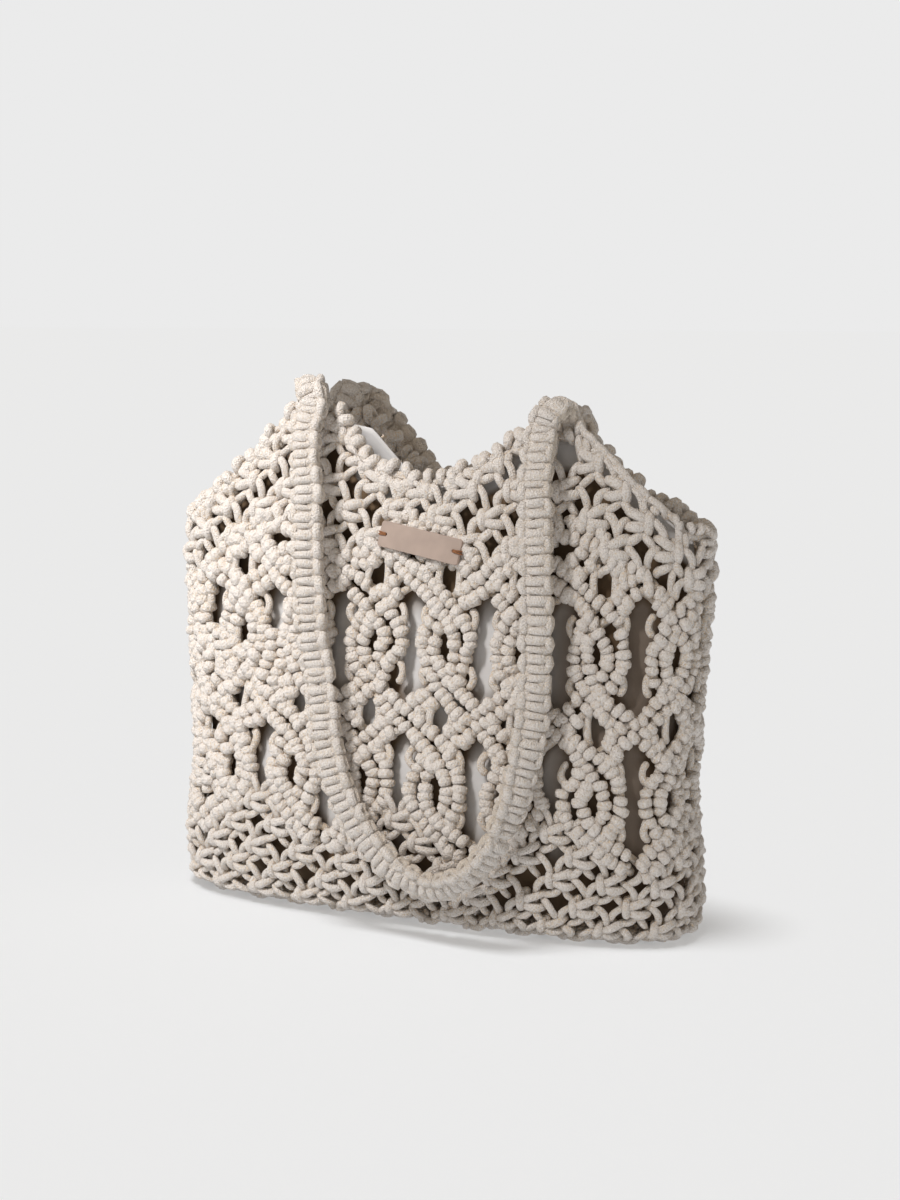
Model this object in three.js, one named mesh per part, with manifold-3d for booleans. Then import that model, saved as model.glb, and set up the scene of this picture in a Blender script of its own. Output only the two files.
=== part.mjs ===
// A knotted cotton cord tote bag with a cloth lining, two flat knotted shoulder straps and a leather label.
// Millimetres, +Z up, the front towards -Y. The origin is on the floor under the middle of the bag.
import * as THREE from "three";
import { mergeVertices } from "three/addons/utils/BufferGeometryUtils.js";
import Module from "manifold-3d";

// Knotted body
const BODY_WIDTH = 336;
const BODY_DEPTH = 112;
const WALL = 10;
const FOOT_RADIUS = 11;
const SQUARENESS = 2.8; // 2 is an ellipse, more is nearer a rectangle

// Rim
const CORNER_HEIGHT = 233;
const VALLEY_HEIGHT = 260;
const LEFT_PEAK_HEIGHT = 299;
const RIGHT_PEAK_HEIGHT = 288;
const LEFT_PEAK_X = -77;
const RIGHT_PEAK_X = 83;
const PEAK_WIDTH = 32;
const RIM_SAG = 1.35; // 1 is a straight slope from a low point to a peak

// Gaps in the knotted pattern. A repeat is one column of gaps and one row of tall gaps.
const REPEATS_AROUND = 16;
const ROW_SPACING = 79.5;
const TALL_GAP_HEIGHT = 163; // of the upper row's centres above the floor
const TALL_GAP = { wide: 9.5, high: 54, shoulder: 0.62 };
const SLOT_GAP = { wide: 7, high: 18, shoulder: 0.4 };
const DIAMOND_GAP = { wide: 10, high: 15, shoulder: 0 };
const CROWN_GAP = { wide: 10, high: 15, shoulder: 0 };
const CROWN_GAP_SHARE = 0.76; // of the row spacing, above the upper row of tall gaps

// Lining
const LINING_WALL = 1.5;
const LINING_SLACK = 2.6; // between the lining and the knotted wall
const LINING_BELOW_RIM = 9;

// Straps
const STRAP_WIDTH = 19;
const STRAP_THICKNESS = 11;
const STRAP_FOLD_RADIUS = 8;
const STRAP_RISE = 2; // straight up from the rim before the fold
const STRAP_LOW_FRONT = 31; // the lowest point of a strap's centreline above the floor
const STRAP_LOW_BACK = 42;
const STRAP_CORNER = 0.28; // how much of the thickness a band's cut corners take
const STRAP_STAND = 12; // how far a strap stands off the body where it hangs freest

// Label
const LABEL_WIDTH = 52;
const LABEL_HEIGHT = 15;
const LABEL_THICKNESS = 2.6;
const LABEL_X = 5;
const LABEL_Z = 221;
const LABEL_TILT = 6.5; // degrees, the right end lower
const LABEL_CORNER = 1.2;
const LABEL_HOLE = 1.8;
const LABEL_HOLE_INSET = 4;

const CLEARANCE = 0.35;

// How finely the faceted surfaces are divided
const BODY_COLUMNS = 52;
const BODY_ROWS = 9;
const LINING_COLUMNS = 36;
const LINING_ROWS = 5;
const FOOT_STEPS = 2;
const STRAP_STEPS = 48;
const FOLD_STEPS = 5;
const HOLE_SIDES = 8;

// Level sections from the floor to the peaks. height is a share of the higher peak, half a share of half the
// width, and the rest are shares of the depth: seam is how far the side seams lie behind the origin, and front
// and back are how far each face stands from the seams.
const SECTIONS = [
  { height: 0.0, half: 0.985, seam: 0.0, front: 0.45, back: 0.44 },
  { height: 0.13, half: 0.985, seam: 0.0, front: 0.5, back: 0.47 },
  { height: 0.27, half: 0.957, seam: 0.0, front: 0.5, back: 0.48 },
  { height: 0.4, half: 0.967, seam: 0.0, front: 0.42, back: 0.48 },
  { height: 0.54, half: 0.983, seam: 0.0, front: 0.355, back: 0.47 },
  { height: 0.67, half: 1.0, seam: 0.01, front: 0.32, back: 0.43 },
  { height: 0.8, half: 0.995, seam: 0.03, front: 0.27, back: 0.35 },
  { height: 1.0, half: 0.975, seam: 0.07, front: 0.17, back: 0.24 },
];

// The straps' centrelines between their folds, from the left peak to the right. across is a share of the peaks'
// mean distance from the middle, drop a share of the way from the peak to the lowest point, stand a share of
// STRAP_STAND, and turn the twist of the band in degrees.
const FRONT_STRAP_ROUTE = [
  { across: -0.89, drop: 0.06, stand: 0.9, turn: -6 },
  { across: -0.8, drop: 0.2, stand: 1.0, turn: -14 },
  { across: -0.73, drop: 0.41, stand: 0.8, turn: -16 },
  { across: -0.6, drop: 0.63, stand: 0.5, turn: -14 },
  { across: -0.46, drop: 0.78, stand: 0.35, turn: -8 },
  { across: -0.24, drop: 0.9, stand: 0.3, turn: 0 },
  { across: 0.06, drop: 0.98, stand: 0.3, turn: 12 },
  { across: 0.36, drop: 1.0, stand: 0.3, turn: 30 },
  { across: 0.64, drop: 0.955, stand: 0.3, turn: 52 },
  { across: 0.86, drop: 0.86, stand: 0.3, turn: 58 },
  { across: 0.98, drop: 0.73, stand: 0.4, turn: 34 },
  { across: 1.03, drop: 0.55, stand: 0.7, turn: 12 },
  { across: 1.01, drop: 0.34, stand: 0.9, turn: 4 },
  { across: 0.96, drop: 0.18, stand: 1.0, turn: 0 },
  { across: 0.93, drop: 0.06, stand: 0.9, turn: 0 },
];
const BACK_STRAP_ROUTE = [
  { across: -0.84, drop: 0.01, stand: 0.9, turn: 0 },
  { across: -0.68, drop: 0.07, stand: 1.0, turn: 4 },
  { across: -0.5, drop: 0.15, stand: 1.0, turn: 6 },
  { across: -0.42, drop: 0.36, stand: 0.7, turn: 8 },
  { across: -0.36, drop: 0.6, stand: 0.4, turn: 14 },
  { across: -0.22, drop: 0.82, stand: 0.5, turn: 26 },
  { across: 0.02, drop: 0.95, stand: 0.6, turn: 34 },
  { across: 0.34, drop: 1.0, stand: 0.6, turn: 32 },
  { across: 0.66, drop: 0.93, stand: 0.5, turn: 14 },
  { across: 0.86, drop: 0.8, stand: 0.4, turn: 4 },
  { across: 0.97, drop: 0.6, stand: 0.5, turn: 0 },
  { across: 1.02, drop: 0.36, stand: 0.8, turn: 0 },
  { across: 1.02, drop: 0.14, stand: 1.0, turn: 0 },
];

const wasm = await Module();
wasm.setup();

// A smooth curve through a table's column, by a key column that rises.
function smooth(table, key, column, at) {
  const last = table.length - 1;
  let i = 0;
  while (i < last - 1 && at > table[i + 1][key]) i++;
  const slope = (k) => {
    const a = table[Math.max(k - 1, 0)];
    const b = table[Math.min(k + 1, last)];
    return (b[column] - a[column]) / (b[key] - a[key]);
  };
  const lower = table[i];
  const upper = table[i + 1];
  const span = upper[key] - lower[key];
  const t = THREE.MathUtils.clamp((at - lower[key]) / span, 0, 1);
  const rise = upper[column] - lower[column];
  const enter = slope(i) * span;
  const leave = slope(i + 1) * span;
  return lower[column] + enter * t + (3 * rise - 2 * enter - leave) * t ** 2 + (enter + leave - 2 * rise) * t ** 3;
}

// The level section at a height, shrunk by an inset.
function section(z, inset) {
  const height = z / Math.max(LEFT_PEAK_HEIGHT, RIGHT_PEAK_HEIGHT);
  const value = (column) => smooth(SECTIONS, "height", column, height);
  return {
    half: (BODY_WIDTH / 2) * value("half") - inset,
    seam: BODY_DEPTH * value("seam"),
    front: BODY_DEPTH * value("front") - inset,
    back: BODY_DEPTH * value("back") - inset,
  };
}

const ARC_SAMPLES = 48;

// A point of the body's surface. around runs from 0 at the middle of the front through 1 at the right seam and
// 2 at the middle of the back to 4, in equal lengths of cord along each quarter.
function surface(around, z, inset) {
  const { half, seam, front, back } = section(z, inset);
  const turn = THREE.MathUtils.euclideanModulo(around, 4);
  const onFront = turn < 1 || turn >= 3;
  const side = turn < 2 ? 1 : -1;
  const share = onFront ? Math.min(turn, 4 - turn) : Math.abs(turn - 2);
  const depth = onFront ? front : back;
  const at = (k) => {
    const angle = (k / ARC_SAMPLES) * (Math.PI / 2);
    return [half * Math.sin(angle) ** (2 / SQUARENESS), depth * Math.cos(angle) ** (2 / SQUARENESS)];
  };
  const lengths = [0];
  let last = at(0);
  for (let k = 1; k <= ARC_SAMPLES; k++) {
    const next = at(k);
    lengths.push(lengths[k - 1] + Math.hypot(next[0] - last[0], next[1] - last[1]));
    last = next;
  }
  const wanted = share * lengths[ARC_SAMPLES];
  let k = 0;
  while (k < ARC_SAMPLES - 1 && lengths[k + 1] < wanted) k++;
  const t = (wanted - lengths[k]) / (lengths[k + 1] - lengths[k]);
  const [x0, y0] = at(k);
  const [x1, y1] = at(k + 1);
  const y = THREE.MathUtils.lerp(y0, y1, t);
  return new THREE.Vector3(side * THREE.MathUtils.lerp(x0, x1, t), seam + (onFront ? -y : y), z);
}

// How far around the front a place across it lies.
function aroundAt(x, z) {
  let low = -1;
  let high = 1;
  for (let k = 0; k < 30; k++) {
    const middle = (low + high) / 2;
    if (surface(middle, z, 0).x < x) low = middle;
    else high = middle;
  }
  return low;
}

// The rim's height over a place across the bag.
function rimHeight(x) {
  const left = { x: LEFT_PEAK_X, z: LEFT_PEAK_HEIGHT };
  const right = { x: RIGHT_PEAK_X, z: RIGHT_PEAK_HEIGHT };
  const middle = (left.x + right.x) / 2;
  const peak = x < middle ? left : right;
  const beyond = Math.abs(x - peak.x) - PEAK_WIDTH / 2;
  if (beyond <= 0) return peak.z;
  const inward = (x - peak.x) * (middle - peak.x) > 0;
  const low = inward ? VALLEY_HEIGHT : CORNER_HEIGHT;
  const reach = (inward ? Math.abs(middle - peak.x) : BODY_WIDTH / 2 - Math.abs(peak.x)) - PEAK_WIDTH / 2;
  const run = THREE.MathUtils.clamp(1 - beyond / reach, 0, 1);
  return low + (peak.z - low) * run ** RIM_SAG;
}

// Rings of points from the foot to the rim, at an inset from the outer face.
function rings(columns, rows, inset, floor, belowRim) {
  const list = [];
  const arounds = Array.from({ length: columns }, (_, i) => (4 * i) / columns);
  const radius = Math.max(FOOT_RADIUS - inset, 1);
  for (let k = 0; k < FOOT_STEPS; k++) {
    const angle = (k / FOOT_STEPS) * (Math.PI / 2);
    const tuck = inset + radius * (1 - Math.sin(angle));
    const z = floor + radius * (1 - Math.cos(angle));
    list.push(arounds.map((around) => surface(around, z, tuck)));
  }
  const start = floor + radius;
  for (let k = 0; k <= rows; k++) {
    const ring = arounds.map((around) => {
      const x = surface(around, CORNER_HEIGHT, 0).x;
      const top = rimHeight(x) - belowRim;
      return surface(around, start + ((top - start) * k) / rows, inset);
    });
    list.push(ring);
  }
  return list;
}

// A closed vessel between outer and inner rings, each from the foot up to the rim.
function vessel(outer, inner) {
  const columns = outer[0].length;
  const chain = [...outer, ...[...inner].reverse()];
  const points = chain.flat();
  const middle = (ring) => ring.reduce((sum, p) => sum.add(p), new THREE.Vector3()).divideScalar(columns);
  const under = points.push(middle(outer[0])) - 1;
  const inside = points.push(middle(inner[0])) - 1;
  const faces = [];
  const last = (chain.length - 1) * columns;
  for (let i = 0; i < columns; i++) {
    const next = (i + 1) % columns;
    faces.push(under, next, i);
    faces.push(inside, last + i, last + next);
    for (let k = 0; k < chain.length - 1; k++) {
      const low = k * columns;
      const high = low + columns;
      faces.push(low + i, low + next, high + next);
      faces.push(low + i, high + next, high + i);
    }
  }
  return indexed(points, faces);
}

function indexed(points, faces) {
  const geometry = new THREE.BufferGeometry();
  geometry.setAttribute("position", new THREE.Float32BufferAttribute(points.flatMap((p) => p.toArray()), 3));
  geometry.setIndex(faces);
  return geometry;
}

function solid(geometry) {
  const bare = geometry.clone();
  bare.deleteAttribute("normal");
  bare.deleteAttribute("uv");
  const merged = mergeVertices(bare, 1e-4);
  const vertProperties = new Float32Array(merged.attributes.position.array);
  const triVerts = new Uint32Array(merged.index.array);
  return new wasm.Manifold(new wasm.Mesh({ numProp: 3, vertProperties, triVerts }));
}

function geometryOf(body) {
  const mesh = body.getMesh();
  const geometry = new THREE.BufferGeometry();
  geometry.setAttribute("position", new THREE.BufferAttribute(new Float32Array(mesh.vertProperties), 3));
  geometry.setIndex(new THREE.BufferAttribute(new Uint32Array(mesh.triVerts), 1));
  return geometry;
}

// A frame on the body's outer face: X along the row, Y up the wall, Z out of it.
function faceFrame(around, z) {
  const step = 0.02;
  const origin = surface(around, z, 0);
  const along = surface(around + step, z, 0).sub(surface(around - step, z, 0)).normalize();
  const rise = surface(around, z + 2, 0).sub(surface(around, z - 2, 0)).normalize();
  const out = new THREE.Vector3().crossVectors(along, rise).normalize();
  const up = new THREE.Vector3().crossVectors(out, along);
  return new THREE.Matrix4().makeBasis(along, up, out).setPosition(origin);
}

// A gap's cutter, a prism through the wall with points above and below, and upright sides if it has a shoulder.
function gapCutter({ wide, high, shoulder }, around, z) {
  const w = wide / 2;
  const h = high / 2;
  const side = shoulder > 0 ? [-shoulder * h, shoulder * h] : [0];
  const shape = new THREE.Shape([
    new THREE.Vector2(0, -h),
    ...side.map((y) => new THREE.Vector2(w, y)),
    new THREE.Vector2(0, h),
    ...side.map((y) => new THREE.Vector2(-w, -y)),
  ]);
  const prism = new THREE.ExtrudeGeometry(shape, { depth: 3 * WALL, bevelEnabled: false });
  prism.translate(0, 0, -2 * WALL);
  prism.applyMatrix4(faceFrame(around, z));
  return solid(prism);
}

function knottedBody() {
  const outer = rings(BODY_COLUMNS, BODY_ROWS, 0, 0, 0);
  const inner = rings(BODY_COLUMNS, BODY_ROWS, WALL, WALL, 0);
  let body = solid(vessel(outer, inner));
  const column = 4 / REPEATS_AROUND;
  const cutters = [];
  for (let k = 0; k < REPEATS_AROUND; k++) {
    const here = k * column;
    const between = (k + 0.5) * column;
    for (const row of [0, 1]) {
      const z = TALL_GAP_HEIGHT - row * ROW_SPACING;
      cutters.push(gapCutter(TALL_GAP, here, z));
      cutters.push(gapCutter(SLOT_GAP, between, z));
      cutters.push(gapCutter(DIAMOND_GAP, between, z + ROW_SPACING / 2));
    }
    const crown = TALL_GAP_HEIGHT + CROWN_GAP_SHARE * ROW_SPACING;
    const above = rimHeight(surface(here, CORNER_HEIGHT, 0).x) - crown;
    if (above > CROWN_GAP.high) cutters.push(gapCutter(CROWN_GAP, here, crown));
  }
  for (const cutter of cutters) body = body.subtract(cutter);
  return geometryOf(body);
}

function lining() {
  const inset = WALL + LINING_SLACK;
  const floor = WALL + CLEARANCE;
  const outer = rings(LINING_COLUMNS, LINING_ROWS, inset, floor, LINING_BELOW_RIM);
  const inner = rings(LINING_COLUMNS, LINING_ROWS, inset + LINING_WALL, floor + LINING_WALL, LINING_BELOW_RIM);
  return vessel(outer, inner);
}

// The body's outer face over a place across the bag: its y at a height, on the front or the back.
function faceY(x, z, facing) {
  const { half, seam, front, back } = section(z, 0);
  const depth = facing < 0 ? front : back;
  const share = Math.min(Math.abs(x) / half, 1) ** SQUARENESS;
  return seam + facing * depth * (1 - share) ** (1 / SQUARENESS);
}

// The start of a strap: up from the rim and over in a half circle. out points away from the band's hidden side.
function fold(x, z, facing, towards) {
  const rim = faceY(x, z, facing) - (facing * WALL) / 2;
  const seat = z + CLEARANCE;
  const points = [{ point: new THREE.Vector3(x, rim, seat), out: new THREE.Vector3(0, -facing, 0), turn: 0 }];
  for (let k = 0; k <= FOLD_STEPS; k++) {
    const angle = (k / FOLD_STEPS) * Math.PI;
    const forward = STRAP_FOLD_RADIUS * (1 - Math.cos(angle));
    const rise = STRAP_RISE + STRAP_FOLD_RADIUS * Math.sin(angle);
    const across = x + (towards - x) * (k / FOLD_STEPS) ** 2;
    const out = new THREE.Vector3(0, -facing * Math.cos(angle), Math.sin(angle));
    points.push({ point: new THREE.Vector3(across, rim + facing * forward, seat + rise), out, turn: 0 });
  }
  return points;
}

function strapRoute(table, facing, lowest) {
  const scale = (RIGHT_PEAK_X - LEFT_PEAK_X) / 2;
  const middle = (RIGHT_PEAK_X + LEFT_PEAK_X) / 2;
  const legs = table.map((row) => {
    const x = middle + row.across * scale;
    const top = THREE.MathUtils.lerp(LEFT_PEAK_HEIGHT, RIGHT_PEAK_HEIGHT, (row.across + 1) / 2);
    const z = THREE.MathUtils.lerp(top, lowest, row.drop);
    const turn = THREE.MathUtils.degToRad(row.turn);
    const reach = (STRAP_THICKNESS * Math.cos(turn) + STRAP_WIDTH * Math.abs(Math.sin(turn))) / 2;
    const y = faceY(x, z, facing) + facing * (row.stand * STRAP_STAND + reach);
    return { point: new THREE.Vector3(x, y, z), out: new THREE.Vector3(0, facing, 0), turn };
  });
  const left = fold(LEFT_PEAK_X, LEFT_PEAK_HEIGHT, facing, legs[0].point.x);
  const right = fold(RIGHT_PEAK_X, RIGHT_PEAK_HEIGHT, facing, legs.at(-1).point.x);
  return [...left, ...legs, ...right.reverse()];
}

// A band with cut corners along a route, its flat side facing out of the bag where the turn is 0.
function strap(table, facing, lowest) {
  const route = strapRoute(table, facing, lowest);
  const curve = new THREE.CatmullRomCurve3(route.map((r) => r.point), false, "centripetal");
  const outs = new THREE.CatmullRomCurve3(route.map((r) => r.out));
  const turns = route.map((r, i) => ({ at: i / (route.length - 1), turn: r.turn }));
  const cut = STRAP_THICKNESS * STRAP_CORNER;
  const w = STRAP_WIDTH / 2;
  const t = STRAP_THICKNESS / 2;
  const outline = [
    [w, t - cut],
    [w - cut, t],
    [cut - w, t],
    [-w, t - cut],
    [-w, cut - t],
    [cut - w, -t],
    [w - cut, -t],
    [w, cut - t],
  ];
  const points = [];
  for (let k = 0; k <= STRAP_STEPS; k++) {
    const at = k / STRAP_STEPS;
    const tangent = curve.getTangent(at);
    if (k === 0) tangent.set(0, 0, 1);
    if (k === STRAP_STEPS) tangent.set(0, 0, -1);
    const wide = new THREE.Vector3().crossVectors(outs.getPoint(at), tangent).normalize();
    wide.applyAxisAngle(tangent, smooth(turns, "at", "turn", at));
    const thick = new THREE.Vector3().crossVectors(tangent, wide);
    const centre = curve.getPoint(at);
    for (const [a, b] of outline) {
      points.push(centre.clone().addScaledVector(wide, a).addScaledVector(thick, b));
    }
  }
  const sides = outline.length;
  const faces = [];
  for (let k = 0; k < STRAP_STEPS; k++) {
    for (let i = 0; i < sides; i++) {
      const a = k * sides + i;
      const b = k * sides + ((i + 1) % sides);
      faces.push(a, b, b + sides);
      faces.push(a, b + sides, a + sides);
    }
  }
  const end = STRAP_STEPS * sides;
  for (let i = 1; i < sides - 1; i++) {
    faces.push(0, i + 1, i);
    faces.push(end, end + i, end + i + 1);
  }
  return indexed(points, faces);
}

// The leather plate, with a stitch hole near each end. Its back lies on the XY plane.
function label() {
  const w = LABEL_WIDTH / 2;
  const h = LABEL_HEIGHT / 2;
  const shape = new THREE.Shape();
  shape.moveTo(LABEL_CORNER - w, -h);
  shape.lineTo(w - LABEL_CORNER, -h);
  shape.quadraticCurveTo(w, -h, w, LABEL_CORNER - h);
  shape.lineTo(w, h - LABEL_CORNER);
  shape.quadraticCurveTo(w, h, w - LABEL_CORNER, h);
  shape.lineTo(LABEL_CORNER - w, h);
  shape.quadraticCurveTo(-w, h, -w, h - LABEL_CORNER);
  shape.lineTo(-w, LABEL_CORNER - h);
  shape.quadraticCurveTo(-w, -h, LABEL_CORNER - w, -h);
  for (const side of [-1, 1]) {
    const hole = new THREE.Path();
    hole.absarc(side * (w - LABEL_HOLE_INSET), 0, LABEL_HOLE / 2, 0, 2 * Math.PI, true);
    shape.holes.push(hole);
  }
  const options = { depth: LABEL_THICKNESS, bevelEnabled: false, curveSegments: HOLE_SIDES / 2 };
  return new THREE.ExtrudeGeometry(shape, options);
}

function named(name, geometry, look) {
  const mesh = new THREE.Mesh(geometry, new THREE.MeshStandardMaterial(look));
  mesh.name = name;
  return mesh;
}

const COTTON = { color: 0xddd5ca, roughness: 0.95, metalness: 0 };
const CLOTH = { color: 0xd9d9d8, roughness: 0.9, metalness: 0 };
const LEATHER = { color: 0xc8a795, roughness: 0.6, metalness: 0 };

const bag = new THREE.Group();
bag.name = "macrame_bag";
bag.add(named("knotted_body", knottedBody(), COTTON));
bag.add(named("lining", lining(), CLOTH));
bag.add(named("front_strap", strap(FRONT_STRAP_ROUTE, -1, STRAP_LOW_FRONT), COTTON));
bag.add(named("back_strap", strap(BACK_STRAP_ROUTE, 1, STRAP_LOW_BACK), COTTON));

const plate = named("leather_label", label(), LEATHER);
const seat = faceFrame(aroundAt(LABEL_X, LABEL_Z), LABEL_Z);
seat.multiply(new THREE.Matrix4().makeTranslation(0, 0, CLEARANCE));
seat.multiply(new THREE.Matrix4().makeRotationZ(THREE.MathUtils.degToRad(-LABEL_TILT)));
plate.applyMatrix4(seat);
bag.add(plate);

export default bag;
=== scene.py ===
"""A knotted cotton cord tote bag with a cloth lining, two flat knotted straps and a leather label.

Metres, +Z up, the front towards -Y. The knots are laid out in flat coordinates: u runs along a row of knots
to the right, with 0 in the middle of the front, v is the height up the wall, and w is how far a point stands
out of the body's outer face. Below the foot's bend v runs on under the bag.
"""

import math
from functools import partial

import bmesh
import bpy
import numpy as np
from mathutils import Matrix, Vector


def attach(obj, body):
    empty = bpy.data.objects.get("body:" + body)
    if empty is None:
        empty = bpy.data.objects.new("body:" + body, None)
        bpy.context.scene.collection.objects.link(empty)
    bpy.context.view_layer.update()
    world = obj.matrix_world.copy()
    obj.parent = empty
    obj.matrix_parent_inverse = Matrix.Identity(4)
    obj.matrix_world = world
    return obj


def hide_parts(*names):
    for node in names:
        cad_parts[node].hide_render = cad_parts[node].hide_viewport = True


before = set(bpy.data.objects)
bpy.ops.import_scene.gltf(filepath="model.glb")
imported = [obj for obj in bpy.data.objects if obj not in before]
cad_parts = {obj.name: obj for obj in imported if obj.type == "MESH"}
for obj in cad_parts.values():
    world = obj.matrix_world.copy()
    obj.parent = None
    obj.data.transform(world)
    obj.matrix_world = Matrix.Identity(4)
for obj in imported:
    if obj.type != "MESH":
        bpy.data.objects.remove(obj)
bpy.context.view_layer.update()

MM = 0.001
RANDOM = np.random.default_rng(11)

# The body's outer face
BODY_WIDTH = 336 * MM
BODY_DEPTH = 112 * MM
WALL = 10 * MM
FOOT_RADIUS = 11 * MM
SQUARENESS = 2.8

# Rim: its height at the side seams, between the peaks and at the peaks, and how its slopes sag
CORNER_HEIGHT = 233 * MM
VALLEY_HEIGHT = 260 * MM
LEFT_PEAK = {"x": -77 * MM, "z": 299 * MM}
RIGHT_PEAK = {"x": 83 * MM, "z": 288 * MM}
PEAK_WIDTH = 32 * MM
RIM_SAG = 1.35

# The pattern: columns of gaps around the bag, and rows of tall gaps
COLUMNS = 16
COLUMN = 46 * MM
AROUND = COLUMNS * COLUMN
ROW_SPACING = 79.5 * MM
TALL_GAP_HEIGHT = 163 * MM
SIDE_COLUMNS = (4, 12)

CORD = 5 * MM
TURN = 2 * math.pi

# Level sections as in the part's source: height, half width, seam, front and back, as shares of the sizes
SECTIONS = np.array([
    (0.00, 0.985, 0.00, 0.450, 0.44),
    (0.13, 0.985, 0.00, 0.500, 0.47),
    (0.27, 0.957, 0.00, 0.500, 0.48),
    (0.40, 0.967, 0.00, 0.420, 0.48),
    (0.54, 0.983, 0.00, 0.355, 0.47),
    (0.67, 1.000, 0.01, 0.320, 0.43),
    (0.80, 0.995, 0.03, 0.270, 0.35),
    (1.00, 0.975, 0.07, 0.170, 0.24),
])
HALF, SEAM, FRONT, BACK = 1, 2, 3, 4


def lengths_along(line):
    """How far along a line each of its points lies."""
    return np.concatenate([[0], np.cumsum(np.linalg.norm(np.diff(line, axis=0), axis=1))])


def smooth(table, column, at):
    """A smooth curve through a table's column, by its first column, which rises."""
    keys, values = table[:, 0], table[:, column]
    last = len(keys) - 1
    below = np.maximum(np.arange(last + 1) - 1, 0)
    above = np.minimum(np.arange(last + 1) + 1, last)
    slopes = (values[above] - values[below]) / (keys[above] - keys[below])
    i = np.clip(np.searchsorted(keys, at) - 1, 0, last - 1)
    span = keys[i + 1] - keys[i]
    t = np.clip((at - keys[i]) / span, 0, 1)
    rise = values[i + 1] - values[i]
    enter, leave = slopes[i] * span, slopes[i + 1] * span
    return values[i] + enter * t + (3 * rise - 2 * enter - leave) * t**2 + (enter + leave - 2 * rise) * t**3


# The body's outer face as a grid of points and normals, from the middle of the underside to above the rim
ARC_SAMPLES = 400
QUARTER_STEPS = 128
LEVELS = 188
LOWEST = -52 * MM
HIGHEST = 322 * MM
THINNEST = 0.2 * MM
NEAR_TOP = 0.99999
NO_LENGTH = 1e-12


def quarter(half, depth):
    """A quarter of a level section, from the middle of a face to its side seam, in equal lengths."""
    angle = np.linspace(0, math.pi / 2, ARC_SAMPLES)
    x = half * np.sin(angle) ** (2 / SQUARENESS)
    y = depth * np.cos(angle) ** (2 / SQUARENESS)
    run = lengths_along(np.column_stack([x, y]))
    wanted = np.linspace(0, run[-1], QUARTER_STEPS + 1)
    return np.interp(wanted, run, x), np.interp(wanted, run, y)


def level_ring(v):
    """The outer face's closed ring of points at one level."""
    bend = min(max(FOOT_RADIUS - v, 0) / FOOT_RADIUS, math.pi / 2)
    z = max(v, FOOT_RADIUS * (1 - math.sin(bend)))
    under = max(FOOT_RADIUS - v - FOOT_RADIUS * math.pi / 2, 0)
    inset = FOOT_RADIUS * (1 - math.cos(bend)) + under
    height = z / LEFT_PEAK["z"]
    half = BODY_WIDTH / 2 * smooth(SECTIONS, HALF, height) - inset
    seam = BODY_DEPTH * smooth(SECTIONS, SEAM, height)
    front = max(BODY_DEPTH * smooth(SECTIONS, FRONT, height) - inset, THINNEST)
    back = max(BODY_DEPTH * smooth(SECTIONS, BACK, height) - inset, THINNEST)
    front_x, front_y = quarter(half, front)
    back_x, back_y = quarter(half, back)
    x = np.concatenate([front_x, back_x[::-1][1:], -back_x[1:], -front_x[::-1][1:]])
    y = np.concatenate([-front_y, back_y[::-1][1:], back_y[1:], -front_y[::-1][1:]]) + seam
    return np.stack([x, y, np.full(len(x), z)], 1)


def face_grid():
    """The outer face's points, level by level, and its outward normals there."""
    points = np.array([level_ring(v) for v in np.linspace(LOWEST, HIGHEST, LEVELS)])
    along = np.roll(points[:, :-1], -1, 1) - np.roll(points[:, :-1], 1, 1)
    along = np.concatenate([along, along[:, :1]], 1)
    out = np.cross(along, np.gradient(points, axis=0))
    return points, out / (np.linalg.norm(out, axis=-1, keepdims=True) + NO_LENGTH)


FACE_POINTS, FACE_OUT = face_grid()


def place(flat):
    """The places on or off the wall of flat coordinates."""
    around = np.mod(flat[..., 0] / (AROUND / 4), 4) * QUARTER_STEPS
    level = np.clip((flat[..., 1] - LOWEST) / (HIGHEST - LOWEST), 0, NEAR_TOP) * (LEVELS - 1)
    i, k = around.astype(int), level.astype(int)
    s, t = (around - i)[..., None], (level - k)[..., None]

    def between(grid):
        low = grid[k, i] * (1 - s) + grid[k, i + 1] * s
        high = grid[k + 1, i] * (1 - s) + grid[k + 1, i + 1] * s
        return low * (1 - t) + high * t

    return between(FACE_POINTS) + between(FACE_OUT) * flat[..., 2:3]


def rim_height(x):
    """The rim's height over a place across the bag."""
    middle = (LEFT_PEAK["x"] + RIGHT_PEAK["x"]) / 2
    left = x < middle
    peak_x = np.where(left, LEFT_PEAK["x"], RIGHT_PEAK["x"])
    peak_z = np.where(left, LEFT_PEAK["z"], RIGHT_PEAK["z"])
    beyond = np.abs(x - peak_x) - PEAK_WIDTH / 2
    inward = (x - peak_x) * (middle - peak_x) > 0
    low = np.where(inward, VALLEY_HEIGHT, CORNER_HEIGHT)
    reach = np.where(inward, np.abs(middle - peak_x), BODY_WIDTH / 2 - np.abs(peak_x)) - PEAK_WIDTH / 2
    run = np.clip(1 - beyond / reach, 0, 1)
    return low + (peak_z - low) * run**RIM_SAG


# Where the real rim hangs lower than the CAD's: the middle and reach across the bag in millimetres, the
# side (-1 the front, 1 the back), and how far it hangs.
RIM_DIPS = [(-36, 20, -1, 11), (-26, 24, 1, 9)]


def rim_at(u):
    """The rim's height at a place along the rows."""
    u = np.asarray(u, float)
    flat = np.stack([u, np.full_like(u, CORNER_HEIGHT), np.zeros_like(u)], -1)
    x = place(flat)[..., 0]
    facing = -np.cos(u / AROUND * TURN)
    dips = [
        drop * np.exp(-((x / MM - at) / reach) ** 2) * (side * facing > 0)
        for at, reach, side, drop in RIM_DIPS
    ]
    return rim_height(x) - sum(dips) * MM


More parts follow.
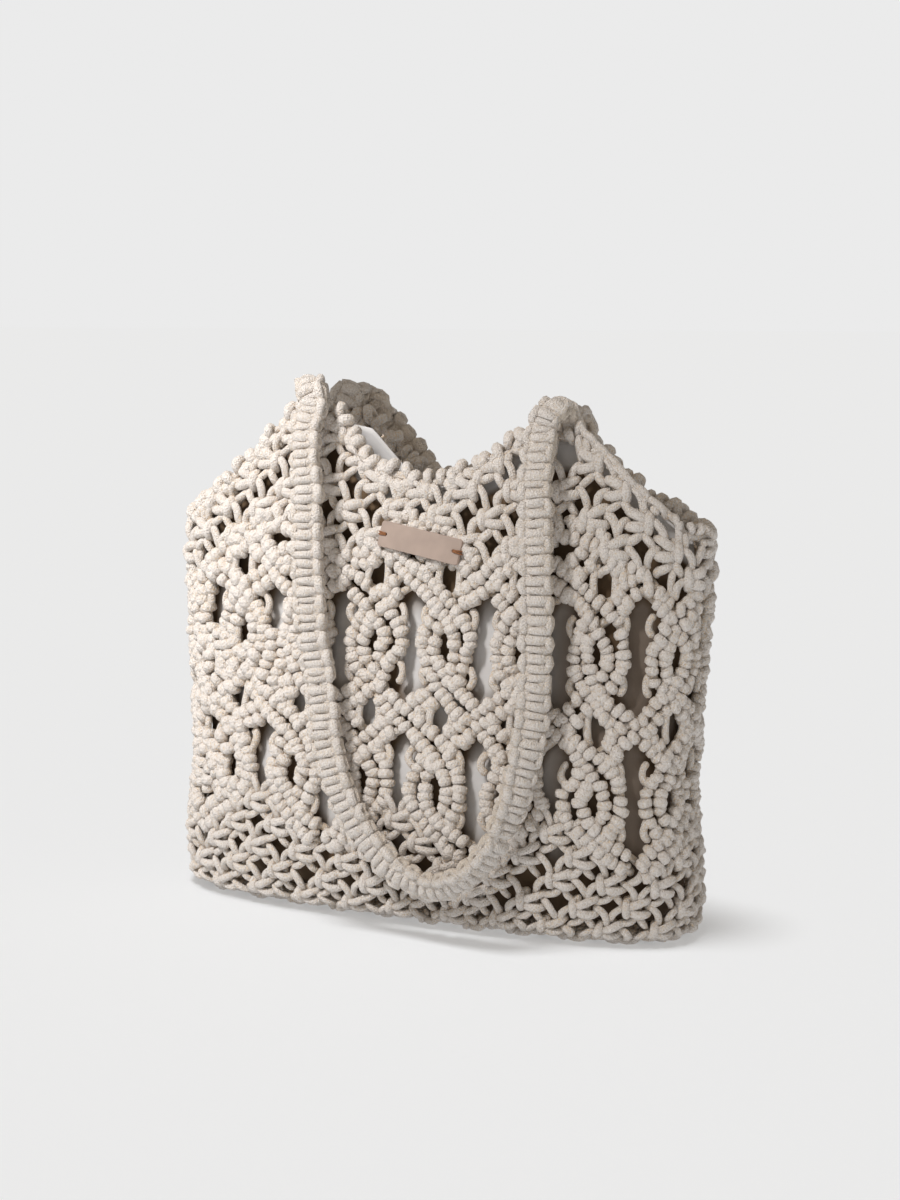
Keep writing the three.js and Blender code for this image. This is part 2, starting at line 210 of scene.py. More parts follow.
def step_up(values, low, high):
    """0 up to low, 1 from high on and smooth between. Where high is less than low, it steps down."""
    t = np.clip((values - low) / (high - low), 0, 1)
    return t * t * (3 - 2 * t)


# How the soft top has settled, in millimetres: the middle and reach across the bag, the heights and then the
# places from front to back between which it sets in, and the move
SETTLED = [
    ((110, 46), (185, 262), (-2, 24), (0, -12, -6)),
    ((88, 22), (255, 300), (4, 30), (-7, -5, -1)),
    ((-50, 40), (215, 285), (4, 26), (6, 0, -8)),
    ((122, 30), (175, 240), (6, -12), (0, 0, 4.5)),
]


def settled(places):
    """Places moved by the settling of the soft top, whose CAD shape is the same on both sides."""
    moved = places.copy()
    x, y, z = places[..., 0], places[..., 1], places[..., 2]
    for (middle, reach), heights, depths, move in SETTLED:
        near = np.exp(-((x / MM - middle) / reach) ** 2)
        share = near * step_up(z / MM, *heights) * step_up(y / MM, *depths)
        moved += share[..., None] * np.array(move) * MM
    return moved


def height_of(row):
    """The height of a row of the pattern, counted down from the first row above the tall gaps."""
    return TALL_GAP_HEIGHT - (row - 1) * ROW_SPACING


# Tubes of cord: their sides, also where little of them shows, the steps of a line between two of its points,
# and their ends, as shares of the radius

SIDES = 8
THIN_SIDES = 6
CORD_STEPS = 2
END_REACH = 0.45
END_SIZE = 0.6

# A tube's first side is level, unless it starts so steeply that its direction is this near to upright.
NEARLY_UP = (0.03, 0.02, 1)
UPRIGHT = 0.2


def curve_through(points, steps):
    """A smooth line through given points, with this many steps between each two."""
    p = np.asarray(points, float)
    p = np.concatenate([[2 * p[0] - p[1]], p, [2 * p[-1] - p[-2]]])
    t = np.linspace(0, 1, steps, endpoint=False)[:, None]
    parts = []
    for a, b, c, d in zip(p[:-3], p[1:-2], p[2:-1], p[3:]):
        bend, twist = 2 * a - 5 * b + 4 * c - d, 3 * b - a - 3 * c + d
        parts.append(0.5 * (2 * b + (c - a) * t + bend * t**2 + twist * t**3))
    return np.concatenate([*parts, p[-2:-1]])


class Shape:
    """Vertices, quads and end faces of closed tubes, with the length and turn along each cord."""

    def __init__(self):
        self.points, self.quads, self.ends, self.quad_uvs, self.count = [], [], [], [], 0

    def add_tube(self, line, radius, sides=SIDES, round_ends=True, squareness=2.0):
        """A tube along a line, with its ends drawn in. Its section is a circle at a squareness of 2."""
        line = np.asarray(line, float)
        tangent = np.gradient(line, axis=0)
        tangent /= np.linalg.norm(tangent, axis=1, keepdims=True)
        radii = np.full(len(line), radius) if np.isscalar(radius) else np.asarray(radius, float)
        if round_ends:
            first = line[0] - tangent[0] * radii[0] * END_REACH
            last = line[-1] + tangent[-1] * radii[-1] * END_REACH
            line = np.concatenate([[first], line, [last]])
            tangent = np.concatenate([tangent[:1], tangent, tangent[-1:]])
            radii = np.concatenate([[radii[0] * END_SIZE], radii, [radii[-1] * END_SIZE]])
        side = np.cross(tangent[0], NEARLY_UP)
        if np.linalg.norm(side) < UPRIGHT:
            side = np.cross(tangent[0], [1, 0, 0])
        rings = []
        turns = np.arange(sides) * TURN / sides
        level, rise = [np.sign(f) * np.abs(f) ** (2 / squareness) for f in (np.cos(turns), np.sin(turns))]
        for centre, along, r in zip(line, tangent, radii):
            side = side - along * (side @ along)
            side /= np.linalg.norm(side)
            up = np.cross(along, side)
            rings.append(centre + r * (level[:, None] * side + rise[:, None] * up))
        self.add_rings(np.array(rings), lengths_along(line))

    def add_rings(self, rings, run):
        """A closed tube through rings of points, which lie this far along it."""
        steps, sides = rings.shape[:2]
        k, i = np.meshgrid(np.arange(steps - 1), np.arange(sides), indexing="ij")
        j = (i + 1) % sides
        low, high = k * sides + self.count, (k + 1) * sides + self.count
        self.quads.append(np.stack([low + i, low + j, high + j, high + i], -1).reshape(-1, 4))
        lengths = np.stack([run[k], run[k], run[k + 1], run[k + 1]], -1)
        turned = np.stack([i, i + 1, i + 1, i], -1) / sides
        self.quad_uvs.append(np.stack([lengths, turned], -1).reshape(-1, 4, 2))
        ring = np.arange(sides)
        self.ends += [ring[::-1] + self.count, ring + self.count + (steps - 1) * sides]
        self.points.append(rings.reshape(-1, 3))
        self.count += steps * sides

    def done(self):
        """The tubes' arrays."""
        return {
            "points": np.concatenate(self.points),
            "quads": np.concatenate(self.quads),
            "ends": np.concatenate(self.ends),
            "end_sizes": np.array([len(end) for end in self.ends]),
            "quad_uvs": np.concatenate(self.quad_uvs),
        }


def repeated(shape, moved):
    """Copies of a shape whose points have been moved: moved holds each copy's points."""
    copies, size = moved.shape[:2]
    shift = (np.arange(copies) * size)[:, None, None]
    return {
        "points": moved.reshape(-1, 3),
        "quads": (shape["quads"][None] + shift).reshape(-1, 4),
        "ends": (shape["ends"][None] + shift[:, 0]).ravel(),
        "end_sizes": np.tile(shape["end_sizes"], copies),
        "quad_uvs": np.tile(shape["quad_uvs"], (copies, 1, 1)),
        "tone": np.repeat(RANDOM.normal(0, 1, copies), size),
    }


def joined(shapes):
    """Several shapes as one."""
    made = {"points": np.concatenate([s["points"] for s in shapes])}
    shifts = np.cumsum([0] + [len(s["points"]) for s in shapes[:-1]])
    for key in ("quads", "ends"):
        made[key] = np.concatenate([s[key] + shift for s, shift in zip(shapes, shifts)])
    for key in ("end_sizes", "quad_uvs"):
        made[key] = np.concatenate([s[key] for s in shapes])
    made["tone"] = np.concatenate([s.get("tone", np.zeros(len(s["points"]))) for s in shapes])
    return made


def put(name, data):
    """A new object in the scene."""
    made = bpy.data.objects.new(name, data)
    bpy.context.scene.collection.objects.link(made)
    return made


def mesh_piece(name, shape, places, depth, material):
    """An object of a shape whose points are at these places, with a depth at each, mostly how far it lies
    under the outer face, from which the materials paint shade.
    """
    places = settled(places)
    quads, ends = shape["quads"], shape["ends"]
    mesh = bpy.data.meshes.new(name)
    mesh.vertices.add(len(places))
    mesh.vertices.foreach_set("co", places.astype(np.float32).ravel())
    corners = np.concatenate([quads.ravel(), ends])
    sizes = np.concatenate([np.full(len(quads), 4), shape["end_sizes"]])
    mesh.loops.add(len(corners))
    mesh.loops.foreach_set("vertex_index", corners.astype(np.int32))
    mesh.polygons.add(len(sizes))
    mesh.polygons.foreach_set("loop_start", np.concatenate([[0], np.cumsum(sizes)[:-1]]).astype(np.int32))
    mesh.polygons.foreach_set("use_smooth", np.ones(len(sizes), bool))
    layer = mesh.uv_layers.new(name="cord")
    uvs = np.zeros((len(corners), 2), np.float32)
    uvs[: quads.size] = shape["quad_uvs"].reshape(-1, 2) / [CORD, 1]
    layer.data.foreach_set("uv", uvs.ravel())
    # The depth is kept for the materials' painted shade.
    for key, values in (("tone", shape["tone"]), ("depth", depth)):
        mesh.attributes.new(key, "FLOAT", "POINT").data.foreach_set("value", values.astype(np.float32))
    mesh.update(calc_edges=True)
    mesh.validate()
    mesh.materials.append(material)
    return put(name, mesh)


# Laying shapes out on the wall. The drift moves whole knots, and the unevenness each point. Of their waves,
# around is the count around the bag and up the growth of the phase with the height.

FLOOR_GAP = 0.2 * MM
# The most depth that counts towards a piece's painted shade
DEEPEST_PAINTED_SHADE = 20 * MM
DRIFT = {"size": 0.6 * MM, "waves": 14, "around": (4, 34), "up": (25, 260), "axes": 2}
UNEVEN = {"size": 0.09 * MM, "waves": 30, "around": (20, 52), "up": (-430, 430), "axes": 3}


def chance_waves(kind):
    """Waves over the wall, each with its count around the bag, its growth upwards, its start and its axis."""
    around, up, axes = kind["around"], kind["up"], kind["axes"]
    return [
        (RANDOM.integers(*around), RANDOM.uniform(*up), RANDOM.uniform(0, TURN), n % axes)
        for n in range(kind["waves"])
    ]


DRIFT_WAVES = chance_waves(DRIFT)
UNEVEN_WAVES = chance_waves(UNEVEN)


def wavy(flat, size, waves):
    """How far the waves move these flat coordinates."""
    moved = np.zeros_like(flat)
    for around, up, start, axis in waves:
        phase = flat[..., 0] / AROUND * TURN * around + flat[..., 1] * up + start
        moved[..., axis] += size * np.sin(phase)
    return moved


def drifted(flat):
    """Flat coordinates moved by a slow drift, because hand-tied rows are never quite straight."""
    return flat + wavy(flat, DRIFT["size"], DRIFT_WAVES)


def spread(shape, u, v, turn, size=1.0, lift=0.0):
    """Copies of a shape in millimetres, whose X runs along a row and Y up it, at these flat places."""
    x, y, w = (shape["points"] * MM).T
    u, v, _ = drifted(np.stack([u, v, 0 * u], -1)).T
    size, lift = np.broadcast_to(size, u.shape)[:, None], np.broadcast_to(lift, u.shape)[:, None]
    c, s = np.cos(turn)[:, None], np.sin(turn)[:, None]
    flat = [u[:, None] + size * (x * c - y * s), v[:, None] + size * (x * s + y * c), size * w + lift]
    return repeated({**shape, "quad_uvs": shape["quad_uvs"] * [MM, 1]}, np.stack(flat, -1))


def wall_piece(name, shape, material, deepest=DEEPEST_PAINTED_SHADE):
    """An object of a shape in flat coordinates, brought onto the bag's wall, whose depth under the outer
    face, up to deepest, gives its painted shade.
    """
    flat = shape["points"] + wavy(shape["points"], UNEVEN["size"], UNEVEN_WAVES)
    places = place(flat)
    places[:, 2] = np.maximum(places[:, 2], FLOOR_GAP)
    return mesh_piece(name, shape, places, np.minimum(-flat[:, 2], deepest), material)


# Bands of double half hitches: two rows of bumps, each a turn of cord over a straight leader cord

# A bump's line, across its row and out of the wall, and its radii, in millimetres
BUMP_ARCH = [(-1.6, -6.2), (-1.7, -4.3), (-1.15, -2.95), (0, -2.6), (1.15, -2.95), (1.7, -4.3), (1.6, -6.2)]
BUMP_RADII = [2.4, 2.65, 2.75, 2.8, 2.75, 2.65, 2.4]
BUMP_SQUARENESS = 2.8
BUMP_SLANT = 0.16
BUMP_SIZE = 1.04
BUMP_LIFT = 0.2 * MM

# Where a row's bumps lie, in bumps but for the pitch and the shift that draws each two together, and how much
# they differ by chance
BEAD_PITCH = 5.1 * MM
FIRST_BUMP = 0.25
SIDE_SHIFT = 0.5
PAIR_SHIFT = 0.12 * MM
BUMP_CHANCE = {"along": 0.16 * MM, "place": 0.33 * MM, "turn": 0.24, "size": 0.06, "lift": 0.6 * MM}

# The bumps are larger within these columns from the bag's ends, where the wall is squeezed together.
SQUEEZED_END = (1.9, 2.6)
SQUEEZED_SIZE = 0.12

# Gaps by the front's left end that are squeezed shut: column, its shift from row to row, first and last row
CLOSED_GAPS = [(13, 0, 0.99, 1.38), (14.04, -0.1, 1.0, 1.38), (13, 0, 1.8, 2.25)]

# The leader cords, which are sunk under a crossing
LEADER_DEPTH = 5.4 * MM
LEADER_SUNK = 3.5 * MM
LEADER_RADIUS = 2.6 * MM
LEADER_STEP = 5 * MM

# How bands run about their base, a column: their swing in columns, the rows between which their top arm is
# straight, where they start and end, and the step in rows at which they are drawn
BAND_SWING = 0.745
BAND_ROW = 3.85 * MM
CROSSING_HALF = 6.7 * MM
ARM_FOOT = 0.27
ARM_TOP = 0.12
SIDE_START, BY_SIDE_START, EVEN_START = 0.6, 0.47, 0.2
EVEN_END, ODD_END = 2.33, 2.5
DRAWN = 0.004


def band_start(base, lean):
    """The row at which a band starts. lean is 1 for a band that runs down to the right at first."""
    apex = (base - lean) % COLUMNS
    if base in SIDE_COLUMNS:
        return SIDE_START
    if base % 2 == 0:
        return EVEN_START
    return BY_SIDE_START if apex in SIDE_COLUMNS else ARM_TOP


def band_end(base):
    """The row at which a band ends."""
    return EVEN_END if base % 2 == 0 else ODD_END


def band_offset(row, lean, straight):
    """How many columns a band lies from its base at a row. Its top arm is straight, up to an apex."""
    swing = BAND_SWING * np.sin(math.pi * (row - 0.5))
    foot = BAND_SWING * math.sin(math.pi * (ARM_FOOT - 0.5))
    arm = foot + (-1 - foot) * (ARM_FOOT - row) / (ARM_FOOT - ARM_TOP)
    return lean * np.where(straight & (row < ARM_FOOT), arm, swing)


def band_line(base, lean):
    """A band's centreline in flat coordinates, with its rows."""
    rows = np.arange(band_start(base, lean), band_end(base), DRAWN)
    columns = base + band_offset(rows, lean, base % 2 == 1)
    return np.stack([columns * COLUMN, height_of(rows)], -1), rows


def beside(line, offset):
    """A line run beside another, and the directions of both."""
    along = np.gradient(line, axis=0)
    along /= np.linalg.norm(along, axis=1, keepdims=True)
    return line + offset * np.stack([-along[:, 1], along[:, 0]], -1), along


def under_crossing(base, lean, places, rows):
    """Which places on a band lie under one that leans the other way. The bands take turns at being on top."""
    hidden = np.zeros(len(rows), bool)
    for other in (base - 1, base, base + 1):
        columns = other + band_offset(rows, -lean, other % 2 == 1)
        slope = np.gradient(columns * COLUMN, height_of(rows))
        near = np.abs(places[:, 0] - columns * COLUMN) / np.hypot(1, slope) < CROSSING_HALF
        present = (rows > band_start(other % COLUMNS, -lean)) & (rows < band_end(other))
        right_leaning = base if lean > 0 else other
        crossing = np.round(rows - 0.5) if other == base else np.floor(2 * rows - 1)
        right_on_top = (crossing.astype(int) + right_leaning) % 2 == 0
        hidden |= near & present & (right_on_top != (lean > 0))
    return hidden


def bump_row(line, rows, side, lean, hidden=None):
    """Places, turns, sizes and lifts of the bumps of one row of a band, and the row's cord."""
    cord, along = beside(line, side * BAND_ROW)
    run = lengths_along(cord)
    count = int(run[-1] / BEAD_PITCH)
    at = (np.arange(count) + FIRST_BUMP + SIDE_SHIFT * (side > 0)) * run[-1] / count
    at += np.where(np.arange(count) % 2, PAIR_SHIFT, -PAIR_SHIFT)
    at += RANDOM.normal(0, BUMP_CHANCE["along"], count)
    uv = np.stack([np.interp(at, run, cord[:, k]) for k in (0, 1)], -1)
    turn = np.interp(at, run, np.unwrap(np.arctan2(along[:, 1], along[:, 0])))
    shown = np.ones(count, bool) if hidden is None else ~hidden(uv, np.interp(at, run, rows))
    turn += lean * BUMP_SLANT + RANDOM.normal(0, BUMP_CHANCE["turn"], count)
    uv += RANDOM.normal(0, BUMP_CHANCE["place"], uv.shape)
    from_end = np.mod(uv[:, 0] / COLUMN + COLUMNS / 4, COLUMNS)
    from_end = np.minimum(from_end, COLUMNS - from_end)
    squeezed = SQUEEZED_SIZE * (1 - step_up(from_end, *SQUEEZED_END))
    size = BUMP_SIZE + RANDOM.normal(0, BUMP_CHANCE["size"], count) + squeezed
    lift = RANDOM.normal(BUMP_LIFT, BUMP_CHANCE["lift"], count)
    return np.column_stack([uv, turn, size, lift])[shown], cord, run


def hitch_bands():
    """The bump's shape, every bump's place, turn, size and lift, and all the leader cords."""
    bump, leaders = Shape(), Shape()
    bump.add_tube([(0, s, w) for s, w in BUMP_ARCH], BUMP_RADII, round_ends=False, squareness=BUMP_SQUARENESS)
    places = []
    for base in range(COLUMNS):
        for lean in (1, -1):
            line, rows = band_line(base, lean)
            hidden = partial(under_crossing, base, lean)
            for side in (1, -1):
                shown, cord, run = bump_row(line, rows, side, lean, hidden)
                places.append(shown)
                every = max(int(LEADER_STEP / (run[-1] / len(run))), 1)
                few = cord[::every]
                deep = -LEADER_DEPTH - LEADER_SUNK * hidden(few, rows[::every])
                leaders.add_tube(drifted(np.column_stack([few, deep])), LEADER_RADIUS, THIN_SIDES)
    for column, shift, top, bottom in CLOSED_GAPS:
        rows = np.arange(top, bottom, DRAWN)
        line = np.column_stack([(column + shift * (rows - top)) * COLUMN, height_of(rows)])
        places += [bump_row(line, rows, side, 1)[0] for side in (1, -1)]
    return bump.done(), np.concatenate(places), leaders.done()


# Square knots of a net: a tab at the left, two bars to its right that part, and strands down to the next
# row, all in millimetres along the row, up, and out of the wall

KNOT_RADIUS = 2.1
TAB = [(-4.9, 5, -6.4), (-5.2, 3.4, -3.1), (-5.3, 0, -1.3), (-5.1, -3.4, -2.9), (-4.7, -5, -6.4)]
UPPER_BAR = [
    (-4, 0.3, -6.2), (-2.4, 1.5, -3.2), (0.6, 2.8, -1.9), (3.7, 4.2, -2.3), (6.4, 5.2, -4),
    (7.8, 5.6, -6.4),
]
LOWER_BAR = [
    (-4, -0.6, -6.2), (-2.4, -1.8, -3.2), (0.8, -2.8, -1.9), (3.9, -3.3, -2.1), (6.6, -3.2, -4),
    (8, -2.7, -6.4),
]
KNOT_BACK = [(-2.6, 6, -6.6), (-2.2, 0, -6), (-2.6, -6, -6.6)]

# The strands of the right side and of the left
STRANDS = {
    1: [[(7, 0.9, -5.4), (9.4, 0.4, -3), (12.1, -2.4, -2.5), (13.6, -6.2, -3.2), (14.4, -10, -5.4)],
        [(1.4, -4.4, -6), (3.2, -6.6, -4), (5, -9, -3.6), (6.9, -11.8, -5.6)]],
    -1: [[(-6.2, -0.2, -5.4), (-9, -0.9, -3.3), (-11.5, -3.5, -2.9), (-12.5, -6.8, -4), (-12.4, -9.2, -5.8)],
         [(1.6, -4.2, -6), (-0.6, -7, -3.6), (-3.4, -9, -3.2), (-6.2, -10.4, -4.4), (-7.8, -12.4, -6)]],
}

# The nets: the pattern's rows in which they have knots, their cords' thickness, and the spacing of their rows
NETS = {
    "upper": {"rows": [0.45 - 0.19 * n for n in range(7, -1, -1)], "fat": 1.2, "spacing": 15.1},
    "lower": {"rows": [2.25 + 0.176 * n for n in range(8)], "fat": 1.03, "spacing": 14.0},
}

# The nets' pieces: name, net, first row and the row after the last. Row -1 holds cords alone.
NET_PARTS = [
    ("upper_knots", "upper", -1, 8), ("lower_knots", "lower", -1, 4), ("bottom_knots", "lower", 4, 8),
]

# Knots stand at every second of these steps around the bag.
HALF_STEPS = 48
HALF_STEP = AROUND / HALF_STEPS

# Shares of a cord's radius: where it swells most, with how full the swell is, in a knot's front cords and
# strands, and at the ends, where it's drawn in
GREATEST = 1.08
FULLNESS = 0.7
FRONT_CORD = 1.08
STRAND_CORD = 0.94
BAR_ENDS, TAB_ENDS, STRAND_ENDS = 0.9, 0.86, 0.96
KNOT_CHANCE = {"turn": 0.05, "lift": 0.3 * MM}

# The lower net's top at even columns and how much lower it is at odd ones, and the bands' middle: at a side
# column, with its rise towards the next, and elsewhere by the distance from an even column
LOWER_TOP = (2.24, 0.5)
SIDE_APEX = (0.62, 0.12)
APEX_ROWS = ((0, 0.52, 1), (ARM_TOP, ARM_FOOT, 0.5))
NET_OVERLAP = 0.07
KNOT_BELOW_RIM = 6.5 * MM
NET_BELOW_RIM = 5 * MM

# Cords between a knot and the rim above it: their feet and tops along the row, in millimetres from the knot,
# and how long they are, how deep their feet lie and how far out they rise
RIM_STRANDS = [(-7, -8.5), (-2.6, -3), (2.6, 3), (7, 8.5)]
HUNG_ABOVE_KNOT = 2.6 * MM
HUNG_BELOW_RIM = 7 * MM
SHORTEST_HUNG = 1 * MM
LONGEST_HUNG = 11 * MM
HUNG_DEPTH = 4.8 * MM
HUNG_RISE = 2 * MM
HUNG_AT = (0, 0.35, 0.7, 1)
HUNG_SIDES = 7


def add_cord(shape, points, radius, ends, sides=SIDES):
    """A smooth cord through points, drawn in at its ends to this share of its radius."""
    line = curve_through(points, CORD_STEPS)
    swell = np.sin(np.linspace(0, math.pi, len(line))) ** FULLNESS
    shape.add_tube(line, radius * (ends + (GREATEST - ends) * swell), sides)


def knot_body(fat, mirrored=1):
    """A knot without its strands. Its tab is at the right where mirrored is -1."""
    shape = Shape()
    for points, ends in ((UPPER_BAR, BAR_ENDS), (LOWER_BAR, BAR_ENDS), (TAB, TAB_ENDS)):
        add_cord(shape, [(mirrored * x, y, w) for x, y, w in points], KNOT_RADIUS * fat * FRONT_CORD, ends)
    for side in (1, -1):
        shape.add_tube([(side * x, y, w) for x, y, w in KNOT_BACK], KNOT_RADIUS * fat, THIN_SIDES)
    return shape.done()


def knot_strands(side, net):
    """The two cords that run from a knot down to its neighbour on this side."""
    shape = Shape()
    for points in STRANDS[side]:
        stretched = [(x, y * net["spacing"] / NETS["lower"]["spacing"], w) for x, y, w in points]
        add_cord(shape, stretched, KNOT_RADIUS * net["fat"] * STRAND_CORD, STRAND_ENDS, THIN_SIDES)
    return shape.done()


def from_even(column):
    """How far a column lies from an even one: 0 at even columns and 1 at odd ones."""
    return 1 - abs(column % 2 - 1)


def apex_row(column):
    """The row of the bands' centreline at a column, above the tall gaps."""
    from_side = min(abs((column - k + COLUMNS / 2) % COLUMNS - COLUMNS / 2) for k in SIDE_COLUMNS)
    if from_side < 1:
        return SIDE_APEX[0] - SIDE_APEX[1] * from_side
    return np.interp(from_even(column), *APEX_ROWS)


def belongs(name, column, row):
    """Whether a net has a knot at a place."""
    if name == "lower":
        return row >= LOWER_TOP[0] + LOWER_TOP[1] * from_even(column)
    below_rim = height_of(row) < rim_at(column * COLUMN) - KNOT_BELOW_RIM
    return below_rim and row < apex_row(column) - NET_OVERLAP


def hang_cords(hung, u, foot, side, radius):
    """Adds the cords that hang from the rim to a knot, on this side of it."""
    for low, high in RIM_STRANDS:
        length = min(rim_at(u + high * MM) - HUNG_BELOW_RIM - foot, LONGEST_HUNG)
        if low * side > 0 and length >= SHORTEST_HUNG:
            line = [
                (u + (low + (high - low) * t) * MM, foot + length * t, HUNG_RISE * t * (2 - t) - HUNG_DEPTH)
                for t in HUNG_AT
            ]
            add_cord(hung, drifted(np.array(line)), radius, BAR_ENDS, HUNG_SIDES)


def net_shape(name, first, last):
    """Some rows of a net of square knots, with the cords that run on from its edges, in flat coordinates."""
    net = NETS[name]
    rows = net["rows"]
    step = rows[1] - rows[0]
    knots = [
        (n, k) for n, row in enumerate(rows) for k in range(HALF_STEPS)
        if (n + k) % 2 == 0 and belongs(name, k * COLUMNS / HALF_STEPS, row)
    ]
    # The knots right under the rim are tied the other way round, and hang from it by cords.
    crowned = set()
    stranded = {1: list(knots), -1: list(knots)}
    hung = Shape()
    for n, k in knots:
        for side in (1, -1):
            if (n - 1, (k + side) % HALF_STEPS) in knots:
                continue
            if height_of(rows[n] - step) < rim_at((k + side) * HALF_STEP) - KNOT_BELOW_RIM:
                stranded[-side].append((n - 1, k + side))
                continue
            crowned.add((n, k))
            foot = height_of(rows[n]) + HUNG_ABOVE_KNOT
            hang_cords(hung, k * HALF_STEP, foot, side, KNOT_RADIUS * net["fat"] * MM)

    def spread_at(shape, knots_here):
        """Copies of a shape at those of these knots that lie in the rows."""
        n, k = np.array([knot for knot in knots_here if first <= knot[0] < last]).T
        turn, lift = [RANDOM.normal(0, KNOT_CHANCE[key], len(n)) for key in ("turn", "lift")]
        return spread(shape, k * HALF_STEP, height_of(rows[0] + n * step), turn, 1.0, lift)

    shapes = [spread_at(knot_body(net["fat"]), [knot for knot in knots if knot not in crowned])]
    if crowned:
        shapes.append(spread_at(knot_body(net["fat"], -1), sorted(crowned)))
    for side, knots_here in stranded.items():
        shapes.append(spread_at(knot_strands(side, net), knots_here))
    if hung.count and first < 0:
        shapes.append(hung.done())
    made = joined(shapes)
    made["points"][:, 1] = np.minimum(made["points"][:, 1], rim_at(made["points"][:, 0]) - NET_BELOW_RIM)
    return made


# Loose cords that curve along the gaps' sides: their lines, in the knots' directions, their radii, and
# whether they also lie upside down

GAP_LOOPS = {
    "tall": (
        [(8.6, 21.5, -6), (6.9, 19.5, -5.2), (6.1, 16.4, -4.9), (6.9, 13.3, -5.2), (8.6, 11, -6)],
        2.3, (1, -1),
    ),
    "cross": ([(4.6, 9, -6.4), (6, 6, -4.7), (6.5, 0, -4), (6, -6, -4.7), (4.6, -9, -6.4)], 2.3, (1,)),
    "slot": (
        [(7.2, 5.5, -5.5), (5.6, 3.2, -4.6), (5.1, 0, -4.2), (5.6, -3.2, -4.6), (7.2, -5.5, -5.5)], 2.2, (1,),
    ),
}
LOOP_TURN = 0.04

# The rows in which they lie, and their first column there
LOOP_ROWS = [
    (0.5, "cross", 0.5), (1, "tall", 0), (1, "slot", 0.5),
    (1.5, "cross", 0.5), (2, "tall", 0), (2, "slot", 0.5),
]


def gap_loops():
    """The loose cords along all the gaps, in flat coordinates."""
    kinds = {}
    for name, (points, radius, flips) in GAP_LOOPS.items():
        loop = Shape()
        for x in (1, -1):
            for y in flips:
                line = [(x * a, y * b, w) for a, b, w in points]
                loop.add_tube(curve_through(line, CORD_STEPS), radius)
        kinds[name] = loop.done()
    shapes = []
    for row, name, first in LOOP_ROWS:
        u = (np.arange(COLUMNS) + first) * COLUMN
        turn = RANDOM.normal(0, LOOP_TURN, COLUMNS)
        shapes.append(spread(kinds[name], u, np.full(COLUMNS, height_of(row)), turn))
    return joined(shapes)


# The rim: two rows of thick loops over a leader cord

RIM_SAMPLES = 2000
RIM_STEP = 7.8 * MM
RIM_LOOP = [
    (0, -6.6, -5.6), (0.4, -4.6, -2.6), (0.1, -2, -1.9), (0, 0.2, -4.4), (-0.1, -0.5, -7.4),
    (-0.3, -3.4, -8.9), (0, -6.6, -8),
]
RIM_LOOP_RADIUS = 3.05
RIM_LOOP_ENDS = 0.76
RIM_LOOP_SUNK = 0.4 * MM
RIM_CHANCE = {"along": 0.9 * MM, "turn": 0.16, "size": 0.09, "height": 0.9 * MM, "lift": 0.5 * MM}

# The loops' lean, which changes sides from loop to loop and doubles this many millimetres further down, and
# how much of the rim's slope they follow
RIM_LEAN = 0.42
LEAN_DOUBLES = 8
RIM_TILT = 0.55

# Every second loop of a row: the first one's place, and the millimetres below the rim and into the wall
RIM_ROWS = [(0.25, 0, 0), (0.75, 0, 0), (0, 6.8, 0.9), (0.5, 6.8, 0.9)]

# The millimetres across the bag between which the front's loops grow thinner, and by what share
THIN_RIM_FROM = (88, 104)
THINNER = 0.3

# Where the front's rim has no loops but cords laid along it, and a laid cord
BARE_RIM = (96 * MM, 146 * MM)
LAID_CORD = [(-7, -4.6, -5.6), (-4, -2.9, -3.2), (0.5, -2.4, -2.6), (4.5, -3, -3.6), (7.5, -4.8, -6)]
LAID_RADIUS = 2.3
LAID_STEP = 8.6 * MM
LAID_CHANCE = {"turn": 0.12, "size": 0.1, "lift": 0.6 * MM}

# The cord under the loops
RIM_LEADER_STEPS = 120
RIM_LEADER_BELOW = 5 * MM
RIM_LEADER_DEPTH = 5.6 * MM


